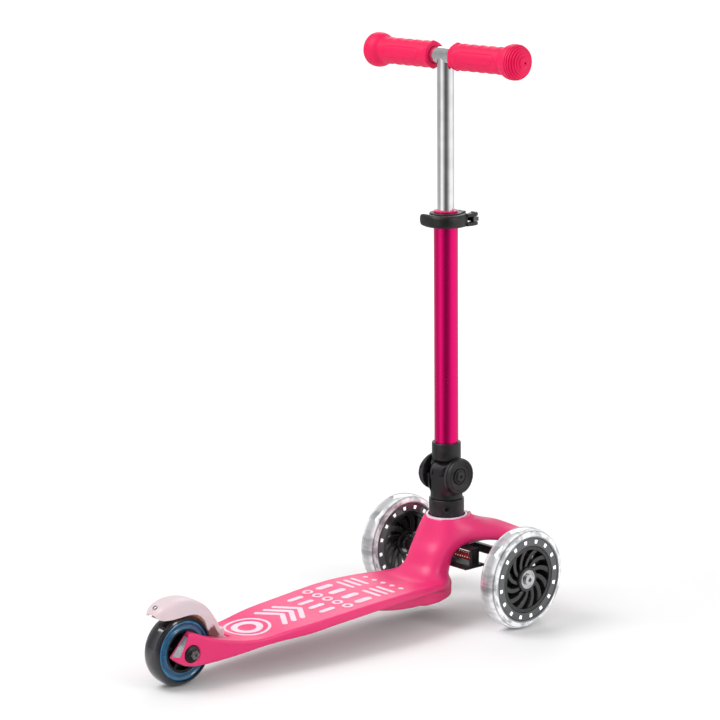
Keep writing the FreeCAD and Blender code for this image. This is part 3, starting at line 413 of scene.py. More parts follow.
def swirl_blades(centre, side, body, name):
    """Twelve broad blades that sweep round and twist from the boss to the hub's ring."""
    verts = []
    faces = []
    rows = 9
    for k in range(12):
        base = len(verts)
        for i in range(rows):
            f = i / (rows - 1)
            r = 13.5 + 22.0 * f
            sweep = math.radians(30.0 * k) + side * math.radians(31.0) * f ** 1.15
            wide = 6.0 + 5.0 * f
            deep = 8.6 + 1.6 * f
            for along, across in ((-1, -1), (-1, 1), (1, 1), (1, -1)):
                lean = side * math.radians(9.0) * along
                a = sweep + lean + across * wide / 2 / r * (0.72 if along * side > 0 else 1.0)
                verts.append((r * math.cos(a), along * deep, r * math.sin(a)))
        for i in range(rows - 1):
            for j in range(4):
                m = (j + 1) % 4
                p = base + i * 4
                faces.append((p + j, p + m, p + 4 + m, p + 4 + j))
        faces.append((base, base + 3, base + 2, base + 1))
        p = base + (rows - 1) * 4
        faces.append((p, p + 1, p + 2, p + 3))
    piece = placed_piece(name, verts, faces, centre, body)
    add_bevel(piece, 0.7, 2, 40.0)
    return crease(piece, 50.0)


def lamp_windows(centre, body, name, mark):
    """Sixteen small lit windows on each side of the smoky ring."""
    verts = []
    faces = []
    for face in (-1, 1):
        for k in range(16):
            a = 2 * math.pi * (k + 0.35) / 16
            base = len(verts)
            for depth in (10.2, 11.55):
                for r, across in ((42.8, -2.0), (42.8, 2.0), (47.4, 2.5), (47.4, -2.5)):
                    t = a + across / r
                    verts.append((r * math.cos(t), face * depth, r * math.sin(t)))
            for q in ((0, 1, 2, 3), (7, 6, 5, 4), (0, 4, 5, 1), (1, 5, 6, 2), (2, 6, 7, 3), (3, 7, 4, 0)):
                faces.append(tuple(base + i for i in q))
    piece = placed_piece(name, verts, faces, centre, body, mark, smooth=False)
    add_bevel(piece, 0.5, 2)
    return piece


def build_front_wheel(name, side):
    body = "front_wheel_" + name
    centre = (FRONT_X, side * WHEEL_Y, FRONT_Z)
    section = tyre_section(WHEEL_R, 50.0, 12.0)
    tyre = turned("tyre_" + name, section, centre, body, "tyre_clear", ["front_tyre_" + name])
    ring = [(-11.4, 40.2), (-11.4, 48.6), (-10.4, 49.8), (10.4, 49.8), (11.4, 48.6), (11.4, 40.2)]
    rim = crease(turned("ring_" + name, ring, centre, body, "rim_smoke", ["front_rim_" + name]))
    hub = [(-11.0, 35.4), (-11.0, 39.4), (-10.5, 40.0), (10.5, 40.0), (11.0, 39.4), (11.0, 35.4),
           (8.5, 34.6), (-8.5, 34.6)]
    boss = [(-10.9, 11.1), (-10.9, 14.2), (-8.0, 15.6), (8.0, 15.6), (10.9, 14.2), (10.9, 11.1)]
    black = [crease(turned("hub_ring_" + name, hub, centre, body, "black_plastic", ["front_hub_" + name])),
             crease(turned("hub_boss_" + name, boss, centre, body, "black_plastic")),
             swirl_blades(centre, side, body, "hub_blades_" + name)]
    lamps = lamp_windows(centre, body, "lamp_windows_" + name, ["front_leds_" + name])
    return {"tyre_clear": [tyre], "rim_smoke": [rim], "hub_gloss": black, "led_white": [lamps]}


def build_rear_rim():
    """Rim core with a raised bead each side of a shallow trough."""
    half = [(-11.4, 24.0), (-11.4, 25.8), (-10.9, 26.3), (-10.2, 26.9), (-10.2, 30.2), (-10.8, 30.9),
            (-11.1, 31.6), (-10.8, 32.6), (-10.0, 33.2), (-10.0, 34.0)]
    section = half + [(-a, r) for a, r in reversed(half)]
    return turned("rim_core", section, (REAR_X, 0, REAR_Z), "rear_wheel", "rim_blue", ["rear_rim"])


# ---- fold joint ------------------------------------------------------------------


def build_fold_face():
    """Dished cap and the stepped button that stands in it."""
    centre = stem_point(0, 0, FOLD_Z)
    cap = [(-20.6, 10.2), (-20.6, 20.8), (-23.4, 20.8), (-24.1, 20.4), (-24.4, 19.6), (-24.4, 18.4),
           (-23.6, 17.6), (-23.4, 16.8), (-23.8, 16.2), (-23.7, 15.4), (-22.6, 14.0), (-22.0, 12.0),
           (-22.1, 10.8), (-21.8, 10.2)]
    button = [(-14.0, 0.1), (-14.0, 3.2), (-15.4, 3.2), (-15.4, 9.0), (-21.8, 9.0), (-22.6, 8.4),
              (-22.8, 7.0), (-24.1, 6.2), (-24.6, 5.4), (-24.6, 1.9), (-23.2, 1.5), (-23.2, 0.1)]
    return [crease(turned("cap_dish", cap, centre, "stem_head", "black_plastic", ["fold_cap"])),
            crease(turned("button_face", button, centre, "fold_button", "black_plastic", ["fold_button"]))]


# ---- fender ----------------------------------------------------------------------
HOOD = [
    # crown station and height, lower edge station and height, half width
    (-36.5, 85.6, -36.0, 84.0, 7.0),
    (-33.0, 90.0, -34.0, 81.6, 11.6),
    (-27.0, 94.0, -29.5, 80.6, 15.0),
    (-16.0, 97.4, -20.0, 80.4, 17.0),
    (-3.0, 98.3, -8.0, 81.0, 17.5),
    (10.0, 96.2, 5.0, 81.2, 17.5),
    (21.0, 91.6, 14.5, 78.8, 17.3),
    (31.0, 84.8, 21.5, 73.6, 16.8),
    (39.2, 76.0, 27.0, 66.0, 15.8),
    (44.4, 69.0, 31.0, 57.6, 14.8),
    (47.4, 64.4, 38.0, 62.4, 13.6),
    (51.2, 57.6, 43.4, 56.4, 12.4),
    (56.4, 47.8, 49.8, 48.8, 11.4),
]


def build_fender():
    """Rounded hood over the rear wheel with a creased lip, ending in a foot at its hinge."""
    table = np.array(HOOD)
    t = np.linspace(0, len(HOOD) - 1, 61)
    k = np.arange(len(HOOD))
    tx, tz, bx, bz, w = (smooth_line(k, table[:, c], t) for c in range(5))
    across = [(0.0, 0.0), (0.2, 0.0), (0.4, 0.012), (0.58, 0.04), (0.7, 0.08), (0.79, 0.15),
              (0.86, 0.25), (0.905, 0.37), (0.94, 0.52), (0.965, 0.68), (0.985, 0.84), (1.0, 1.0)]
    line = [(-a, d) for a, d in reversed(across[1:])] + across
    verts = []
    for i in range(len(t)):
        for a, d in line:
            verts.append((rear(tx[i] + (bx[i] - tx[i]) * d), a * w[i], tz[i] + (bz[i] - tz[i]) * d))
    faces = grid_faces(len(t) - 1, len(line) - 1, 0)
    hood = make_piece("fender_hood", verts, faces, "brake", ["brake_fender"])
    m = hood.modifiers.new("wall", "SOLIDIFY")
    m.thickness = 1.9 * MM
    m.offset = 1.0
    add_bevel(hood, 0.35, 2, 50.0)
    low, high = (rear(48.4), -11.0, 43.2), (rear(57.0), 11.0, 55.0)
    foot = block_piece("fender_foot", low, high, "brake", 2.0)
    knuckle = [(-12.2, 2.6), (-12.2, 4.6), (-11.8, 5.0), (11.8, 5.0), (12.2, 4.6), (12.2, 2.6)]
    hinge = (rear(56.0), 0, 40.0)
    pivot = turned("fender_knuckle", knuckle, hinge, "brake", "fender_pale", count=40)
    return [hood, foot, pivot]


def build_fender_screw():
    """Domed screw with a hex socket, standing square on the sloped crown."""
    out, up = Vector((-0.555, 0, 0.832)), Vector((0.832, 0, 0.555))
    seat = Vector((rear(-30.4), 0, 91.7))
    rings = [(3.3, -0.6), (3.3, 0.5), (2.9, 1.3), (2.1, 1.9), (1.55, 2.0), (1.45, 0.9), (0.05, 0.8)]
    verts = []
    for r, h in rings:
        for i in range(36):
            t = 2 * math.pi * i / 36
            six = 1.0
            if h < 1.0 and r < 2:
                six = math.cos(math.pi / 6) / math.cos(t % (math.pi / 3) - math.pi / 6)
            across = Vector((0, r * six * math.sin(t), 0))
            verts.append(seat + out * h + up * (r * six * math.cos(t)) + across)
    faces = []
    for k in range(len(rings) - 1):
        for i in range(36):
            j = (i + 1) % 36
            faces.append((k * 36 + i, k * 36 + j, k * 36 + 36 + j, k * 36 + 36 + i))
    faces.append(tuple(reversed(range(36))))
    return crease(make_piece("fender_screw", verts, faces, "brake", ["brake_screw"]))


def block_piece(name, lo, hi, body, bevel, stands_for=()):
    verts = [(x, y, z) for x in (lo[0], hi[0]) for y in (lo[1], hi[1]) for z in (lo[2], hi[2])]
    faces = [(0, 1, 3, 2), (4, 6, 7, 5), (0, 4, 5, 1), (2, 3, 7, 6), (0, 2, 6, 4), (1, 5, 7, 3)]
    piece = make_piece(name, verts, faces, body, stands_for, smooth=False)
    add_bevel(piece, bevel, 4)
    return piece


# ---- height clamp ----------------------------------------------------------------


def stem_point(x, y, z):
    """A point given about the upright stem, laid back with it."""
    c, s = math.cos(STEM_LEAN), math.sin(STEM_LEAN)
    return (STEM_FOOT_X + x * c - z * s, y, x * s + z * c)


def build_clamp_lever():
    """Curved lever hugging the collar, flared at its thumb end and forked at its pin."""
    count, ring = 40, 20
    verts = []
    for i in range(count + 1):
        f = i / count
        a = math.radians(-62.0 - 166.0 * f)
        flare = max(0.0, f - 0.72) / 0.28
        thick = 5.6 + 4.4 * math.sin(math.pi * min(1.0, f * 1.1)) ** 2 + 1.5 * flare
        tall = 15.4 - 1.2 * math.sin(math.pi * f) - 3.4 * flare ** 2
        close = math.sqrt(max(0.0, 1.0 - max(0.0, (f - 0.93) / 0.07) ** 2)) * 0.97 + 0.03
        middle_r = 20.8 + thick / 2 + 3.6 * flare ** 2
        for j in range(ring):
            t = 2 * math.pi * j / ring
            k = (abs(math.cos(t)) ** 3.4 + abs(math.sin(t)) ** 3.4) ** (-1 / 3.4)
            r = middle_r + thick / 2 * close * k * math.cos(t)
            h = CLAMP_Z + tall / 2 * close * k * math.sin(t)
            verts.append(stem_point(r * math.cos(a), r * math.sin(a), h))
    faces = []
    for i in range(count):
        for j in range(ring):
            m = (j + 1) % ring
            faces.append((i * ring + j, i * ring + m, (i + 1) * ring + m, (i + 1) * ring + j))
    faces += [tuple(range(ring)), tuple(count * ring + j for j in reversed(range(ring)))]
    band = make_piece("lever_band", verts, faces, "clamp_lever", ["clamp_lever"])
    forks = []
    for name, low, high in (("lower", 466.6, 470.8), ("upper", 477.2, 481.4)):
        outline = [(28.6, -21.9), (27.4, -18.4), (24.0, -16.9), (20.6, -17.4), (16.0, -19.6), (8.6, -20.6),
                   (9.8, -25.6), (17.0, -27.0), (23.6, -26.6), (27.6, -25.0)]
        verts = [stem_point(x, y, z) for z in (low, high) for x, y in outline]
        n = len(outline)
        faces = [tuple(reversed(range(n))), tuple(range(n, 2 * n))]
        faces += [(j, (j + 1) % n, n + (j + 1) % n, n + j) for j in range(n)]
        fork = make_piece("lever_fork_" + name, verts, faces, "clamp_lever", smooth=False)
        add_bevel(fork, 1.0, 3, 25.0)
        forks.append(fork)
    return [band] + forks


# ---- grips -----------------------------------------------------------------------


def build_grip(name, side):
    """Soft grip: six-sided flange, barrel scalloped above and below, stepped mushroom end with a vent."""
    half = BAR_END
    stations = [(17.0, 10.2), (17.0, 14.8), (17.6, 15.9), (19.5, 16.4), (21.6, 16.0), (22.6, 14.9)]
    start, stop = 24.0, half - 30.0
    for i in range(61):
        stations.append((start + (stop - start) * i / 60, 15.1))
    neck = ((28.6, 15.4), (26.6, 16.6), (24.6, 18.2), (22.0, 19.3), (18.6, 20.0), (15.4, 20.15))
    stations += [(half - back, r) for back, r in neck]
    last = 20.15
    for i in range(1, 8):
        t = math.radians(10.6 * i)
        a = half - 15.4 + 14.8 * math.sin(t)
        r = 20.15 * math.cos(t) ** 0.8
        stations += [(a - 1.3, last - 0.1), (a - 1.3, r - 0.75), (a - 0.5, r - 0.75), (a - 0.5, r - 0.05)]
        last = r
    stations += [(half - 0.3, 5.2), (half, 4.4), (half, 1.6), (half - 3.0, 1.4), (half - 3.0, 0.05)]
    spin = 144
    verts = []
    for i in range(spin):
        t = 2 * math.pi * i / spin
        six = math.cos(math.pi / 6) / math.cos((t + math.pi / 6) % (math.pi / 3) - math.pi / 6)
        for a, r in stations:
            q = r
            if r > 12 and a < 22.0:
                q = r * (0.93 + 0.16 * (six - 0.866) / 0.134 * 0.45)
            if start < a < stop:
                wave = 0.5 - 0.5 * math.cos(2 * math.pi * 5 * (a - start) / (stop - start))
                q = r + 0.75 * (wave - 0.4) * abs(math.sin(t)) ** 3
                groove = panel_groove((a - start) / (stop - start), t)
                q -= 0.55 * groove
            verts.append((q * math.cos(t), side * a, q * math.sin(t)))
    n = len(stations)
    faces = []
    for i in range(spin):
        k = ((i + 1) % spin) * n
        for j in range(n - 1):
            f = (i * n + j, i * n + j + 1, k + j + 1, k + j)
            faces.append(f if side > 0 else tuple(reversed(f)))
    centre = (BAR_X, 0, BAR_Z)
    stands_for = ["grip_" + name]
    grip = placed_piece("grip_rubber_" + name, verts, faces, centre, "upper_stem", stands_for)
    return crease(grip, 40.0)


def panel_groove(f, t):
    """Outline of a long oval pad on the front and rear of the barrel."""
    best = 0.0
    for middle_angle in (0.0, math.pi):
        d = abs((t - middle_angle + math.pi) % (2 * math.pi) - math.pi) * 15.0
        u = max(0.0, abs(f - 0.5) * 66.0 - 20.0)
        best = max(best, math.exp(-((math.hypot(u, d) - 6.6) / 0.75) ** 2))
    return best


# ---- camera ---------------------------------------------------------------------


def place_camera():
    data = bpy.data.cameras.new("camera")
    data.lens = 123.57
    data.sensor_width = 36.0
    data.clip_end = 50.0
    cam = bpy.data.objects.new("camera", data)
    yaw, pitch, roll = (math.radians(a) for a in (47.051, 11.565, 0.768))
    ahead = Vector((math.cos(pitch) * math.cos(yaw), math.cos(pitch) * math.sin(yaw), -math.sin(pitch)))
    side = Vector((math.sin(yaw), -math.cos(yaw), 0.0))
    up = side.cross(ahead)
    right = side * math.cos(roll) + up * math.sin(roll)
    top = up * math.cos(roll) - side * math.sin(roll)
    basis = Matrix((right, top, -ahead)).transposed().to_4x4()
    basis.translation = Vector((-1.6008 + REAR_X * MM, -2.0030, 0.8846))
    cam.matrix_world = basis
    bpy.context.scene.collection.objects.link(cam)
    bpy.context.scene.camera = cam


# ---- studio ----------------------------------------------------------------------


def soft_lamp(name, place, aim, size, power, tint=(1, 1, 1)):
    data = bpy.data.lights.new(name, "AREA")
    data.shape = "RECTANGLE"
    data.size = size[0]
    data.size_y = size[1]
    data.energy = power
    data.color = tint
    lamp = bpy.data.objects.new(name, data)
    lamp.location = place
    lamp.rotation_euler = (Vector(aim) - Vector(place)).to_track_quat("-Z", "Y").to_euler()
    bpy.context.scene.collection.objects.link(lamp)
    return lamp


BANDS = [
    # turn from the dark flag behind the camera, and how bright the set is there
    (-180, 0.5), (-125, 0.42), (-97, 0.3), (-74, 0.62), (-60, 0.92), (-46, 0.75), (-29, 0.4), (-12, 0.14),
    (0, 0.08), (12, 0.1), (29, 0.22), (46, 0.5), (60, 0.8), (97, 0.98), (125, 0.6), (180, 0.5),
]


def studio_bands(tree, direction):
    """Brightness of the flags and soft boxes that stand round the set, by compass turn."""
    ahead = node(tree, "ShaderNodeVectorMath", {"operation": "DOT_PRODUCT"})
    tree.links.new(direction, ahead.inputs[0])
    ahead.inputs[1].default_value = (-0.681, -0.732, 0)
    across = node(tree, "ShaderNodeVectorMath", {"operation": "DOT_PRODUCT"})
    tree.links.new(direction, across.inputs[0])
    across.inputs[1].default_value = (0.732, -0.681, 0)
    turn = maths(tree, "ARCTAN2", across.outputs["Value"], ahead.outputs["Value"])
    ramp = node(tree, "ShaderNodeValToRGB", Fac=remap(tree, turn, -math.pi, math.pi))
    bar = ramp.color_ramp
    bar.elements[0].position, bar.elements[1].position = 0.0, 1.0
    for at, _ in BANDS[1:-1]:
        bar.elements.new((at + 180) / 360)
    for e, (_, v) in zip(bar.elements, BANDS):
        e.color = (v, v, v, 1)
    return ramp.outputs["Color"]


def mix_value(tree, factor, a, b):
    """a where factor is 0, b where it is 1."""
    return maths(tree, "ADD", maths(tree, "MULTIPLY", maths(tree, "SUBTRACT", 1.0, factor), a),
                 maths(tree, "MULTIPLY", factor, b))


def pale_floor():
    bpy.ops.mesh.primitive_plane_add(size=60.0, location=(0, 0, 0))
    floor = bpy.context.object
    floor.name = "floor"
    m = bpy.data.materials.new("pale floor")
    m.use_nodes = True
    t = m.node_tree
    p = t.nodes["Principled BSDF"]
    place = node(t, "ShaderNodeTexCoord").outputs["Object"]
    path = node(t, "ShaderNodeLightPath")
    away = node(t, "ShaderNodeVectorMath", {"operation": "LENGTH"})
    t.links.new(place, away.inputs[0])
    far = remap(t, away.outputs["Value"], 0.7, 2.6)
    seen = mix_value(t, path.outputs["Is Glossy Ray"], 1.0, studio_bands(t, place))
    paper = node(t, "ShaderNodeTexNoise", Vector=place, Scale=3.0, Detail=3.0)
    tone = maths(t, "MULTIPLY", seen, remap(t, paper.outputs["Fac"], 0.3, 0.7, 0.92, 0.95))
    t.links.new(blend_color(t, tone, (0, 0, 0, 1), (1, 1, 1, 1)), p.inputs["Base Color"])
    glow = maths(t, "MULTIPLY", maths(t, "MULTIPLY", far, seen), 0.42)
    t.links.new(blend_color(t, glow, (0, 0, 0, 1), (1, 1, 1, 1)), p.inputs["Emission Color"])
    p.inputs["Emission Strength"].default_value = 1.0
    p.inputs["Roughness"].default_value = 0.7
    p.inputs["Specular IOR Level"].default_value = 0.1
    floor.data.materials.append(m)


def studio():
    world = bpy.data.worlds.new("studio")
    bpy.context.scene.world = world
    world.use_nodes = True
    nt = world.node_tree
    back = nt.nodes["Background"]
    back.inputs["Color"].default_value = (1.0, 1.0, 1.0, 1.0)
    path = node(nt, "ShaderNodeLightPath")
    place = node(nt, "ShaderNodeTexCoord").outputs["Generated"]
    shiny = mix_value(nt, path.outputs["Is Glossy Ray"], 0.68, studio_bands(nt, place))
    nt.links.new(mix_value(nt, path.outputs["Is Camera Ray"], shiny, 1.02), back.inputs["Strength"])
    soft_lamp("key", (-1.3, 0.9, 2.4), (0.05, 0, 0.3), (1.3, 1.3), 36)
    soft_lamp("side", (0.5, -2.4, 1.5), (0.1, 0, 0.35), (0.5, 1.8), 15)
    soft_lamp("back", (1.8, 1.6, 1.6), (0.1, 0, 0.3), (1.0, 1.6), 10)
    pale_floor()
    bpy.context.scene.view_settings.view_transform = "Standard"


# ---- finishes --------------------------------------------------------------------


def group_sockets(group, ins, outs):
    for name, kind, value in ins:
        s = group.interface.new_socket(name, in_out="INPUT", socket_type=kind)
        s.default_value = value
    for name, kind in outs:
        group.interface.new_socket(name, in_out="OUTPUT", socket_type=kind)


def new_group(name, ins, outs):
    g = bpy.data.node_groups.new(name, "ShaderNodeTree")
    group_sockets(g, ins, outs)
    i = g.nodes.new("NodeGroupInput")
    o = g.nodes.new("NodeGroupOutput")
    return g, i, o


FLOAT = "NodeSocketFloat"
COLOR = "NodeSocketColor"


def node(tree, kind, settings=(), **inputs):
    n = tree.nodes.new(kind)
    for key, value in dict(settings).items():
        setattr(n, key, value)
    for key, value in inputs.items():
        socket = n.inputs[key.replace("_", " ")]
        if isinstance(value, bpy.types.NodeSocket):
            tree.links.new(value, socket)
        else:
            socket.default_value = value
    return n


def maths(tree, op, a, b=0.0):
    n = tree.nodes.new("ShaderNodeMath")
    n.operation = op
    for i, v in enumerate((a, b)):
        if isinstance(v, bpy.types.NodeSocket):
            tree.links.new(v, n.inputs[i])
        else:
            n.inputs[i].default_value = v
    return n.outputs[0]


def blend_color(tree, factor, a, b, mode="MIX"):
    n = tree.nodes.new("ShaderNodeMix")
    n.data_type = "RGBA"
    n.blend_type = mode
    for socket, v in ((n.inputs[0], factor), (n.inputs[6], a), (n.inputs[7], b)):
        if isinstance(v, bpy.types.NodeSocket):
            tree.links.new(v, socket)
        else:
            socket.default_value = v
    return n.outputs[2]


def remap(tree, value, low, high, to_low=0.0, to_high=1.0):
    n = tree.nodes.new("ShaderNodeMapRange")
    tree.links.new(value, n.inputs["Value"])
    for key, v in (("From Min", low), ("From Max", high), ("To Min", to_low), ("To Max", to_high)):
        if isinstance(v, bpy.types.NodeSocket):
            tree.links.new(v, n.inputs[key])
        else:
            n.inputs[key].default_value = v
    return n.outputs["Result"]


def moulded_grain_group():
    """Fine leathery grain and faint mottling of an injection moulding."""
    g, i, o = new_group(
        "moulded grain",
        [("Color", COLOR, (0.8, 0.1, 0.3, 1)), ("Shade", COLOR, (0.6, 0.05, 0.2, 1)),
         ("Mottle", FLOAT, 0.25), ("Grain Scale", FLOAT, 900.0),
         ("Roughness", FLOAT, 0.35), ("Roughness Spread", FLOAT, 0.08)],
        [("Color", COLOR), ("Roughness", FLOAT), ("Height", FLOAT)])
    place = node(g, "ShaderNodeTexCoord").outputs["Object"]
    broad = node(g, "ShaderNodeTexNoise", Vector=place, Scale=9.0, Detail=4.0, Roughness=0.6)
    fine = node(g, "ShaderNodeTexNoise", Vector=place, Scale=i.outputs["Grain Scale"], Detail=2.0)
    pits = node(g, "ShaderNodeTexVoronoi", Vector=place, Scale=i.outputs["Grain Scale"])
    mask = maths(g, "MULTIPLY", remap(g, broad.outputs["Fac"], 0.35, 0.7), i.outputs["Mottle"])
    color = blend_color(g, mask, i.outputs["Color"], i.outputs["Shade"])
    spread = remap(g, broad.outputs["Fac"], 0.3, 0.7, -1.0, 1.0)
    swing = maths(g, "MULTIPLY", spread, i.outputs["Roughness Spread"])
    rough = maths(g, "ADD", i.outputs["Roughness"], swing)
    rough = maths(g, "ADD", rough, remap(g, fine.outputs["Fac"], 0.35, 0.65, -0.03, 0.03))
    height = maths(g, "ADD", fine.outputs["Fac"], maths(g, "MULTIPLY", pits.outputs["Distance"], 0.5))
    g.links.new(color, o.inputs["Color"])
    g.links.new(rough, o.inputs["Roughness"])
    g.links.new(height, o.inputs["Height"])
    return g


def rubbed_edge_group():
    """Mask of proud edges, broken up as handling wears them."""
    g, i, o = new_group(
        "rubbed edge",
        [("Reach", FLOAT, 0.04), ("Patchiness", FLOAT, 60.0)],
        [("Mask", FLOAT)])
    geo = node(g, "ShaderNodeNewGeometry")
    place = node(g, "ShaderNodeTexCoord").outputs["Object"]
    noise = node(g, "ShaderNodeTexNoise", Vector=place, Scale=i.outputs["Patchiness"], Detail=5.0)
    start = maths(g, "ADD", 0.51, i.outputs["Reach"])
    stop = maths(g, "ADD", 0.58, i.outputs["Reach"])
    edge = remap(g, geo.outputs["Pointiness"], start, stop)
    broken = remap(g, noise.outputs["Fac"], 0.42, 0.62)
    g.links.new(maths(g, "MULTIPLY", edge, broken), o.inputs["Mask"])
    return g


def scuff_group():
    """Faint hairlines and rubs: a mask and a height that share the same marks."""
    g, i, o = new_group(
        "scuffs",
        [("Scale", FLOAT, 40.0), ("Amount", FLOAT, 0.3)],
        [("Mask", FLOAT), ("Height", FLOAT)])
    place = node(g, "ShaderNodeTexCoord").outputs["Object"]
    turned = node(g, "ShaderNodeMapping", Vector=place)
    turned.inputs["Scale"].default_value = (1.0, 7.0, 2.0)
    turned.inputs["Rotation"].default_value = (0.3, 0.2, 0.5)
    lines = node(g, "ShaderNodeTexNoise", Vector=turned.outputs[0], Scale=i.outputs["Scale"],
                 Detail=8.0, Roughness=0.7)
    area = node(g, "ShaderNodeTexNoise", Vector=place, Scale=14.0, Detail=2.0)
    thin = remap(g, lines.outputs["Fac"], 0.6, 0.68)
    wide = remap(g, area.outputs["Fac"], 0.5, 0.65)
    mask = maths(g, "MULTIPLY", maths(g, "MULTIPLY", thin, wide), i.outputs["Amount"])
    g.links.new(mask, o.inputs["Mask"])
    g.links.new(maths(g, "MULTIPLY", mask, -1.0), o.inputs["Height"])
    return g


GRAIN = moulded_grain_group()
RUBBED = rubbed_edge_group()
SCUFFS = scuff_group()


def use_group(tree, group, **values):
    n = tree.nodes.new("ShaderNodeGroup")
    n.node_tree = group
    for key, value in values.items():
        socket = n.inputs[key.replace("_", " ")]
        if isinstance(value, bpy.types.NodeSocket):
            tree.links.new(value, socket)
        else:
            socket.default_value = value
    return n


def rgba(c):
    return (c[0], c[1], c[2], 1.0)


def finish_material(name, base, shade, rough, worn=None, grain=900.0, depth=0.02, mottle=0.25,
                    spread=0.06, edge=0.03, scuff=0.25, scuff_scale=40.0, plain=()):
    """A moulded, painted or metal finish: grain, rubbed edges and scuffs over one base."""
    m = bpy.data.materials.new(name)
    m.use_nodes = True
    t = m.node_tree
    p = t.nodes["Principled BSDF"]
    g = use_group(t, GRAIN, Color=rgba(base), Shade=rgba(shade), Mottle=mottle, Grain_Scale=grain,
                  Roughness=rough, Roughness_Spread=spread)
    e = use_group(t, RUBBED, Reach=edge)
    s = use_group(t, SCUFFS, Scale=scuff_scale, Amount=scuff)
    worn = worn or tuple(min(1.0, c * 1.15 + 0.03) for c in base)
    color = blend_color(t, maths(t, "MULTIPLY", e.outputs["Mask"], 0.6), g.outputs["Color"], rgba(worn))
    color = blend_color(t, maths(t, "MULTIPLY", s.outputs["Mask"], 0.35), color, rgba(worn))
    rough_out = maths(t, "ADD", g.outputs["Roughness"], maths(t, "MULTIPLY", s.outputs["Mask"], 0.15))
    rough_out = maths(t, "ADD", rough_out, maths(t, "MULTIPLY", e.outputs["Mask"], 0.06))
    grain_height = maths(t, "MULTIPLY", g.outputs["Height"], depth)
    height = maths(t, "ADD", grain_height, maths(t, "MULTIPLY", s.outputs["Height"], 0.05))
    bump = node(t, "ShaderNodeBump", Height=height, Strength=0.35, Distance=0.0006)
    t.links.new(color, p.inputs["Base Color"])
    t.links.new(rough_out, p.inputs["Roughness"])
    t.links.new(bump.outputs["Normal"], p.inputs["Normal"])
    for key, value in dict(plain).items():
        p.inputs[key].default_value = value
    return m


def paint(node_name, material):
    mesh = NODES[node_name].data
    mesh.materials.clear()
    mesh.materials.append(material)


def srgb(r, g, b):
    def lin(c):
        c = c / 255.0
        return c / 12.92 if c <= 0.04045 else ((c + 0.055) / 1.055) ** 2.4
    return (lin(r), lin(g), lin(b))


def build_finishes():
    f = {}
    f["deck_pink"] = finish_material(
        "deck nylon", srgb(238, 46, 118), srgb(228, 34, 104), 0.36, worn=srgb(255, 120, 165),
        grain=1400.0, depth=0.25, mottle=0.3, scuff=0.2)
    f["print_white"] = finish_material(
        "grip print", srgb(240, 212, 226), srgb(232, 198, 214), 0.5, grain=1500.0, depth=0.6,
        mottle=0.4, scuff=0.3)
    f["ring_white"] = finish_material(
        "neck ring nylon", srgb(240, 225, 242), srgb(232, 214, 236), 0.38, grain=1200.0, depth=0.2)
    f["black_plastic"] = finish_material(
        "glass filled nylon", srgb(19, 18, 20), srgb(14, 13, 15), 0.4, worn=srgb(58, 57, 62),
        grain=1100.0, depth=0.8, mottle=0.5, spread=0.08, edge=0.02)
    f["black_steel"] = finish_material(
        "blacked steel", srgb(40, 40, 43), srgb(26, 26, 28), 0.34, worn=srgb(120, 120, 124),
        plain={"Metallic": 0.9})
    f["steel"] = finish_material(
        "zinc plated steel", srgb(200, 200, 204), srgb(170, 170, 176), 0.24, grain=500.0, depth=0.1,
        scuff=0.5, plain={"Metallic": 1.0})
    f["aluminium"] = finish_material(
        "turned aluminium", srgb(205, 205, 208), srgb(180, 180, 184), 0.3, grain=600.0, depth=0.1,
        plain={"Metallic": 1.0})
    f["chrome"] = finish_material(
        "polished chrome", srgb(236, 236, 238), srgb(228, 228, 230), 0.07, grain=300.0, depth=0.0,
        mottle=0.05, spread=0.012, scuff=0.12, scuff_scale=80.0, plain={"Metallic": 1.0})
    f["spring_red"] = finish_material(
        "red spring steel", srgb(190, 28, 20), srgb(150, 16, 12), 0.35, plain={"Coat Weight": 0.4})
    f["anodised_pink"] = finish_material(
        "anodised stem", srgb(232, 8, 112), srgb(226, 5, 106), 0.24, worn=srgb(240, 50, 136),
        grain=700.0, depth=0.04, mottle=0.12, spread=0.015, edge=0.3, scuff=0.12, scuff_scale=90.0,
        plain={"Metallic": 0.85})
    f["bush_pink"] = finish_material(
        "guide bush nylon", srgb(220, 30, 110), srgb(200, 20, 96), 0.4)
    f["grip_pink"] = finish_material(
        "soft grip rubber", srgb(234, 8, 84), srgb(216, 5, 70), 0.5, worn=srgb(240, 36, 110),
        grain=1300.0, depth=0.7, mottle=0.35, spread=0.06, plain={"Specular IOR Level": 0.3})
    f["tyre_smoke"] = finish_material(
        "dark rolling tyre", srgb(34, 34, 40), srgb(24, 24, 30), 0.13, worn=srgb(92, 92, 98),
        grain=700.0, depth=0.06, edge=0.2, spread=0.03, plain={"Coat Weight": 0.8})
    f["fender_pale"] = finish_material(
        "pale fender", srgb(238, 206, 210), srgb(230, 190, 197), 0.38, grain=1200.0, depth=0.15,
        plain={"Subsurface Weight": 0.25})
    f["rim_smoke"] = finish_material(
        "smoky light ring", srgb(78, 79, 82), srgb(50, 51, 54), 0.14, mottle=0.6, depth=0.05,
        plain={"Coat Weight": 0.8})
    f["hub_gloss"] = finish_material(
        "hub nylon", srgb(24, 24, 26), srgb(16, 16, 18), 0.26, worn=srgb(60, 60, 64), depth=0.2,
        plain={"Coat Weight": 0.3})
    f["led_white"] = finish_material(
        "lamp diffuser", (0.95, 0.96, 1.0), (0.9, 0.92, 1.0), 0.4,
        plain={"Emission Color": (0.95, 0.97, 1.0, 1), "Emission Strength": 0.7})
    return f


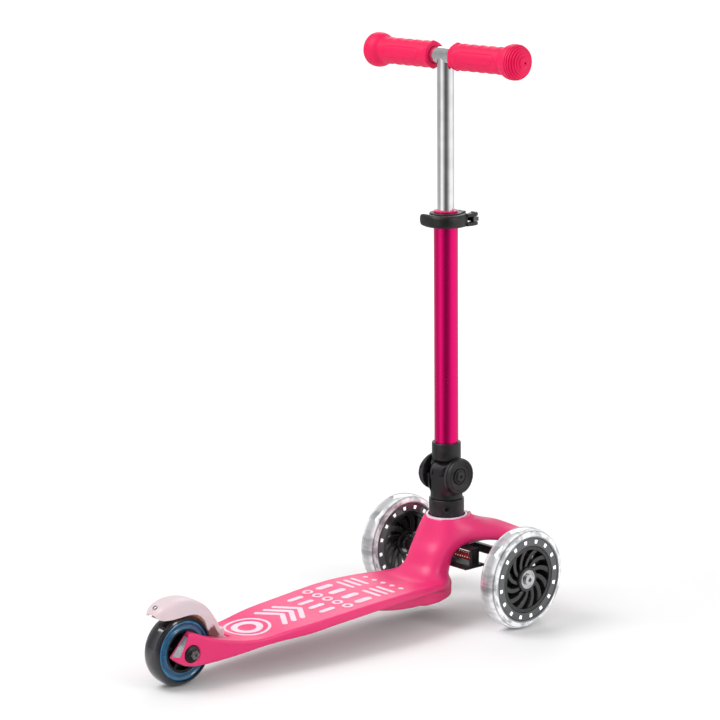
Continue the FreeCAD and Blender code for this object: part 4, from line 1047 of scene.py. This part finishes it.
def round_the_hub(tree):
    """Distance from the wheel's centre and the angle round it, both from the piece's own origin."""
    place = node(tree, "ShaderNodeTexCoord").outputs["Object"]
    split = node(tree, "ShaderNodeSeparateXYZ", Vector=place)
    x, z = split.outputs["X"], split.outputs["Z"]
    squares = maths(tree, "ADD", maths(tree, "MULTIPLY", x, x), maths(tree, "MULTIPLY", z, z))
    r = maths(tree, "SQRT", squares)
    return maths(tree, "MULTIPLY", r, 1000.0), maths(tree, "ARCTAN2", z, x), place


def lit_tyre_group():
    """Clear tyre lit from inside, with the light painted in: a bright broken band of painted glow between
    smoky edges, dimmer at the crown, with a painted dark line at the shoulder.
    """
    g, i, o = new_group(
        "lit tyre",
        [("Bright", COLOR, (0.9, 0.92, 0.95, 1)), ("Smoke", COLOR, (0.1, 0.1, 0.11, 1)),
         ("Glow", FLOAT, 0.5)],
        [("Color", COLOR), ("Roughness", FLOAT), ("Emission", COLOR), ("Height", FLOAT)])
    r, angle, place = round_the_hub(g)
    rise = remap(g, r, 51.2, 52.4)
    # painted shade: a thin dark line round the shoulder
    painted_shoulder_line = remap(g, maths(g, "ABSOLUTE", maths(g, "SUBTRACT", r, 57.4)), 0.2, 0.9, 0.3, 1.0)
    tread = remap(g, r, 59.8, 58.6, 0.42, 1.0)
    band = maths(g, "MULTIPLY", maths(g, "MULTIPLY", rise, painted_shoulder_line), tread)
    turn = node(g, "ShaderNodeCombineXYZ", X=maths(g, "MULTIPLY", angle, 1.3),
                Y=maths(g, "MULTIPLY", r, 0.05))
    glow_patches = node(g, "ShaderNodeTexNoise", Vector=turn.outputs[0], Scale=2.6, Detail=2.0)
    # painted glow, broken into patches round the wheel
    lit = maths(g, "MULTIPLY", band, remap(g, glow_patches.outputs["Fac"], 0.4, 0.56, 0.34, 1.0))
    color = blend_color(g, lit, i.outputs["Smoke"], i.outputs["Bright"])
    # the same painted glow given off as emission, though the tyre holds no lamp
    glow = blend_color(g, maths(g, "MULTIPLY", lit, i.outputs["Glow"]), (0, 0, 0, 1), i.outputs["Bright"])
    fine = node(g, "ShaderNodeTexNoise", Vector=place, Scale=500.0, Detail=3.0)
    g.links.new(color, o.inputs["Color"])
    g.links.new(remap(g, fine.outputs["Fac"], 0.3, 0.7, 0.05, 0.14), o.inputs["Roughness"])
    g.links.new(glow, o.inputs["Emission"])
    g.links.new(fine.outputs["Fac"], o.inputs["Height"])
    return g


def banded_rim_group():
    """Tinted core with painted light: painted highlights along the beads and the inner lip, dark blue in
    the trough between, and painted light drifting round the wheel.
    """
    g, i, o = new_group(
        "banded rim",
        [("Bright", COLOR, (0.1, 0.4, 0.62, 1)), ("Deep", COLOR, (0.006, 0.05, 0.11, 1))],
        [("Color", COLOR), ("Roughness", FLOAT), ("Height", FLOAT)])
    r, angle, place = round_the_hub(g)
    # painted highlight along the outer bead
    bead = remap(g, maths(g, "ABSOLUTE", maths(g, "SUBTRACT", r, 32.2)), 1.7, 0.3)
    # painted highlight at the inner lip
    inner = remap(g, maths(g, "ABSOLUTE", maths(g, "SUBTRACT", r, 25.6)), 1.3, 0.2, 0.0, 0.6)
    turn = node(g, "ShaderNodeCombineXYZ", X=maths(g, "MULTIPLY", angle, 1.2),
                Y=maths(g, "MULTIPLY", r, 0.1))
    # patches of painted light drifting round the wheel
    light_drift = node(g, "ShaderNodeTexNoise", Vector=turn.outputs[0], Scale=2.2, Detail=3.0)
    lit = maths(g, "MAXIMUM", maths(g, "MAXIMUM", bead, inner), 0.3)
    lit = maths(g, "MULTIPLY", lit, remap(g, light_drift.outputs["Fac"], 0.35, 0.62, 0.4, 1.0))
    fine = node(g, "ShaderNodeTexNoise", Vector=place, Scale=600.0, Detail=3.0)
    g.links.new(blend_color(g, lit, i.outputs["Deep"], i.outputs["Bright"]), o.inputs["Color"])
    g.links.new(remap(g, fine.outputs["Fac"], 0.3, 0.7, 0.1, 0.22), o.inputs["Roughness"])
    g.links.new(fine.outputs["Fac"], o.inputs["Height"])
    return g


def honeycomb_group():
    """Small bright cells with darker walls, as in reflective film."""
    g, i, o = new_group(
        "honeycomb film",
        [("Cell", COLOR, (0.75, 0.77, 0.8, 1)), ("Wall", COLOR, (0.2, 0.2, 0.22, 1)),
         ("Scale", FLOAT, 620.0)],
        [("Color", COLOR), ("Roughness", FLOAT), ("Height", FLOAT)])
    place = node(g, "ShaderNodeTexCoord").outputs["Object"]
    cells = node(g, "ShaderNodeTexVoronoi", {"feature": "DISTANCE_TO_EDGE"}, Vector=place,
                 Scale=i.outputs["Scale"], Randomness=0.25)
    wall = remap(g, cells.outputs["Distance"], 0.04, 0.14)
    g.links.new(blend_color(g, wall, i.outputs["Wall"], i.outputs["Cell"]), o.inputs["Color"])
    g.links.new(remap(g, cells.outputs["Distance"], 0.0, 0.4, 0.45, 0.16), o.inputs["Roughness"])
    g.links.new(wall, o.inputs["Height"])
    return g


def lit_tyre_material():
    m = bpy.data.materials.new("clear lit tyre")
    m.use_nodes = True
    t = m.node_tree
    p = t.nodes["Principled BSDF"]
    # painted light: bright band colour and glow for the clear tyre
    g = use_group(t, lit_tyre_group(), Bright=(0.84, 0.85, 0.88, 1), Smoke=(0.1, 0.1, 0.11, 1), Glow=0.3)
    bump = node(t, "ShaderNodeBump", Height=g.outputs["Height"], Strength=0.1, Distance=0.0002)
    t.links.new(g.outputs["Color"], p.inputs["Base Color"])
    t.links.new(g.outputs["Roughness"], p.inputs["Roughness"])
    t.links.new(g.outputs["Emission"], p.inputs["Emission Color"])
    t.links.new(bump.outputs["Normal"], p.inputs["Normal"])
    p.inputs["Emission Strength"].default_value = 1.0
    p.inputs["Transmission Weight"].default_value = 0.25
    p.inputs["Coat Weight"].default_value = 0.7
    return m


def banded_rim_material():
    m = bpy.data.materials.new("tinted rim core")
    m.use_nodes = True
    t = m.node_tree
    p = t.nodes["Principled BSDF"]
    # painted highlights in light blue over the deep blue core
    g = use_group(t, banded_rim_group(), Bright=(0.035, 0.26, 0.5, 1), Deep=(0.005, 0.04, 0.1, 1))
    bump = node(t, "ShaderNodeBump", Height=g.outputs["Height"], Strength=0.1, Distance=0.0002)
    t.links.new(g.outputs["Color"], p.inputs["Base Color"])
    t.links.new(g.outputs["Roughness"], p.inputs["Roughness"])
    t.links.new(bump.outputs["Normal"], p.inputs["Normal"])
    p.inputs["Coat Weight"].default_value = 0.8
    return m


def reflector_material():
    m = bpy.data.materials.new("reflective film")
    m.use_nodes = True
    t = m.node_tree
    p = t.nodes["Principled BSDF"]
    g = use_group(t, honeycomb_group())
    bump = node(t, "ShaderNodeBump", Height=g.outputs["Height"], Strength=0.4, Distance=0.0003)
    t.links.new(g.outputs["Color"], p.inputs["Base Color"])
    t.links.new(g.outputs["Roughness"], p.inputs["Roughness"])
    t.links.new(bump.outputs["Normal"], p.inputs["Normal"])
    p.inputs["Metallic"].default_value = 0.5
    p.inputs["Coat Weight"].default_value = 0.6
    return m


def painted_underside_shade(material):
    """Painted shade: dull grey laid where the board faces the road, on the faces that point down."""
    t = material.node_tree
    color = t.nodes["Principled BSDF"].inputs["Base Color"]
    above = color.links[0].from_socket
    face = node(t, "ShaderNodeSeparateXYZ", Vector=node(t, "ShaderNodeNewGeometry").outputs["Normal"])
    place = node(t, "ShaderNodeTexCoord").outputs["Object"]
    shade_patches = node(t, "ShaderNodeTexNoise", Vector=place, Scale=26.0, Detail=4.0)
    # painted shade: the more a face points down, the more it blends to dull grey, patchy through the noise
    below = remap(t, face.outputs["Z"], -0.45, -0.85)
    mask = maths(t, "MULTIPLY", below, remap(t, shade_patches.outputs["Fac"], 0.3, 0.7, 0.7, 0.9))
    t.links.new(blend_color(t, mask, above, (0.12, 0.11, 0.115, 1)), color)


FINISH = build_finishes()
# painted shade on the underside of the deck board
painted_underside_shade(FINISH["deck_pink"])
FINISH["tyre_clear"] = lit_tyre_material()
FINISH["reflector"] = reflector_material()
FINISH["rim_blue"] = banded_rim_material()
for entry in frame["record"]["subparts"]:
    if entry["node"] in NODES:
        paint(entry["node"], FINISH[entry["material_slot"]])


def dress(pieces, finish):
    for piece in pieces:
        piece.data.materials.clear()
        piece.data.materials.append(FINISH[finish])


place_camera()
studio()
dress([build_moulding()], "deck_pink")
dress(build_reflectors(), "reflector")
for label, hand in (("left", 1), ("right", -1)):
    for finish, pieces in build_front_wheel(label, hand).items():
        dress(pieces, finish)
    dress([build_grip(label, hand)], "grip_pink")
dress(build_fender(), "fender_pale")
dress([build_fender_screw()], "steel")
dress([build_rear_rim()], "rim_blue")
dress(build_fold_face(), "black_plastic")
dress(build_clamp_lever(), "black_plastic")
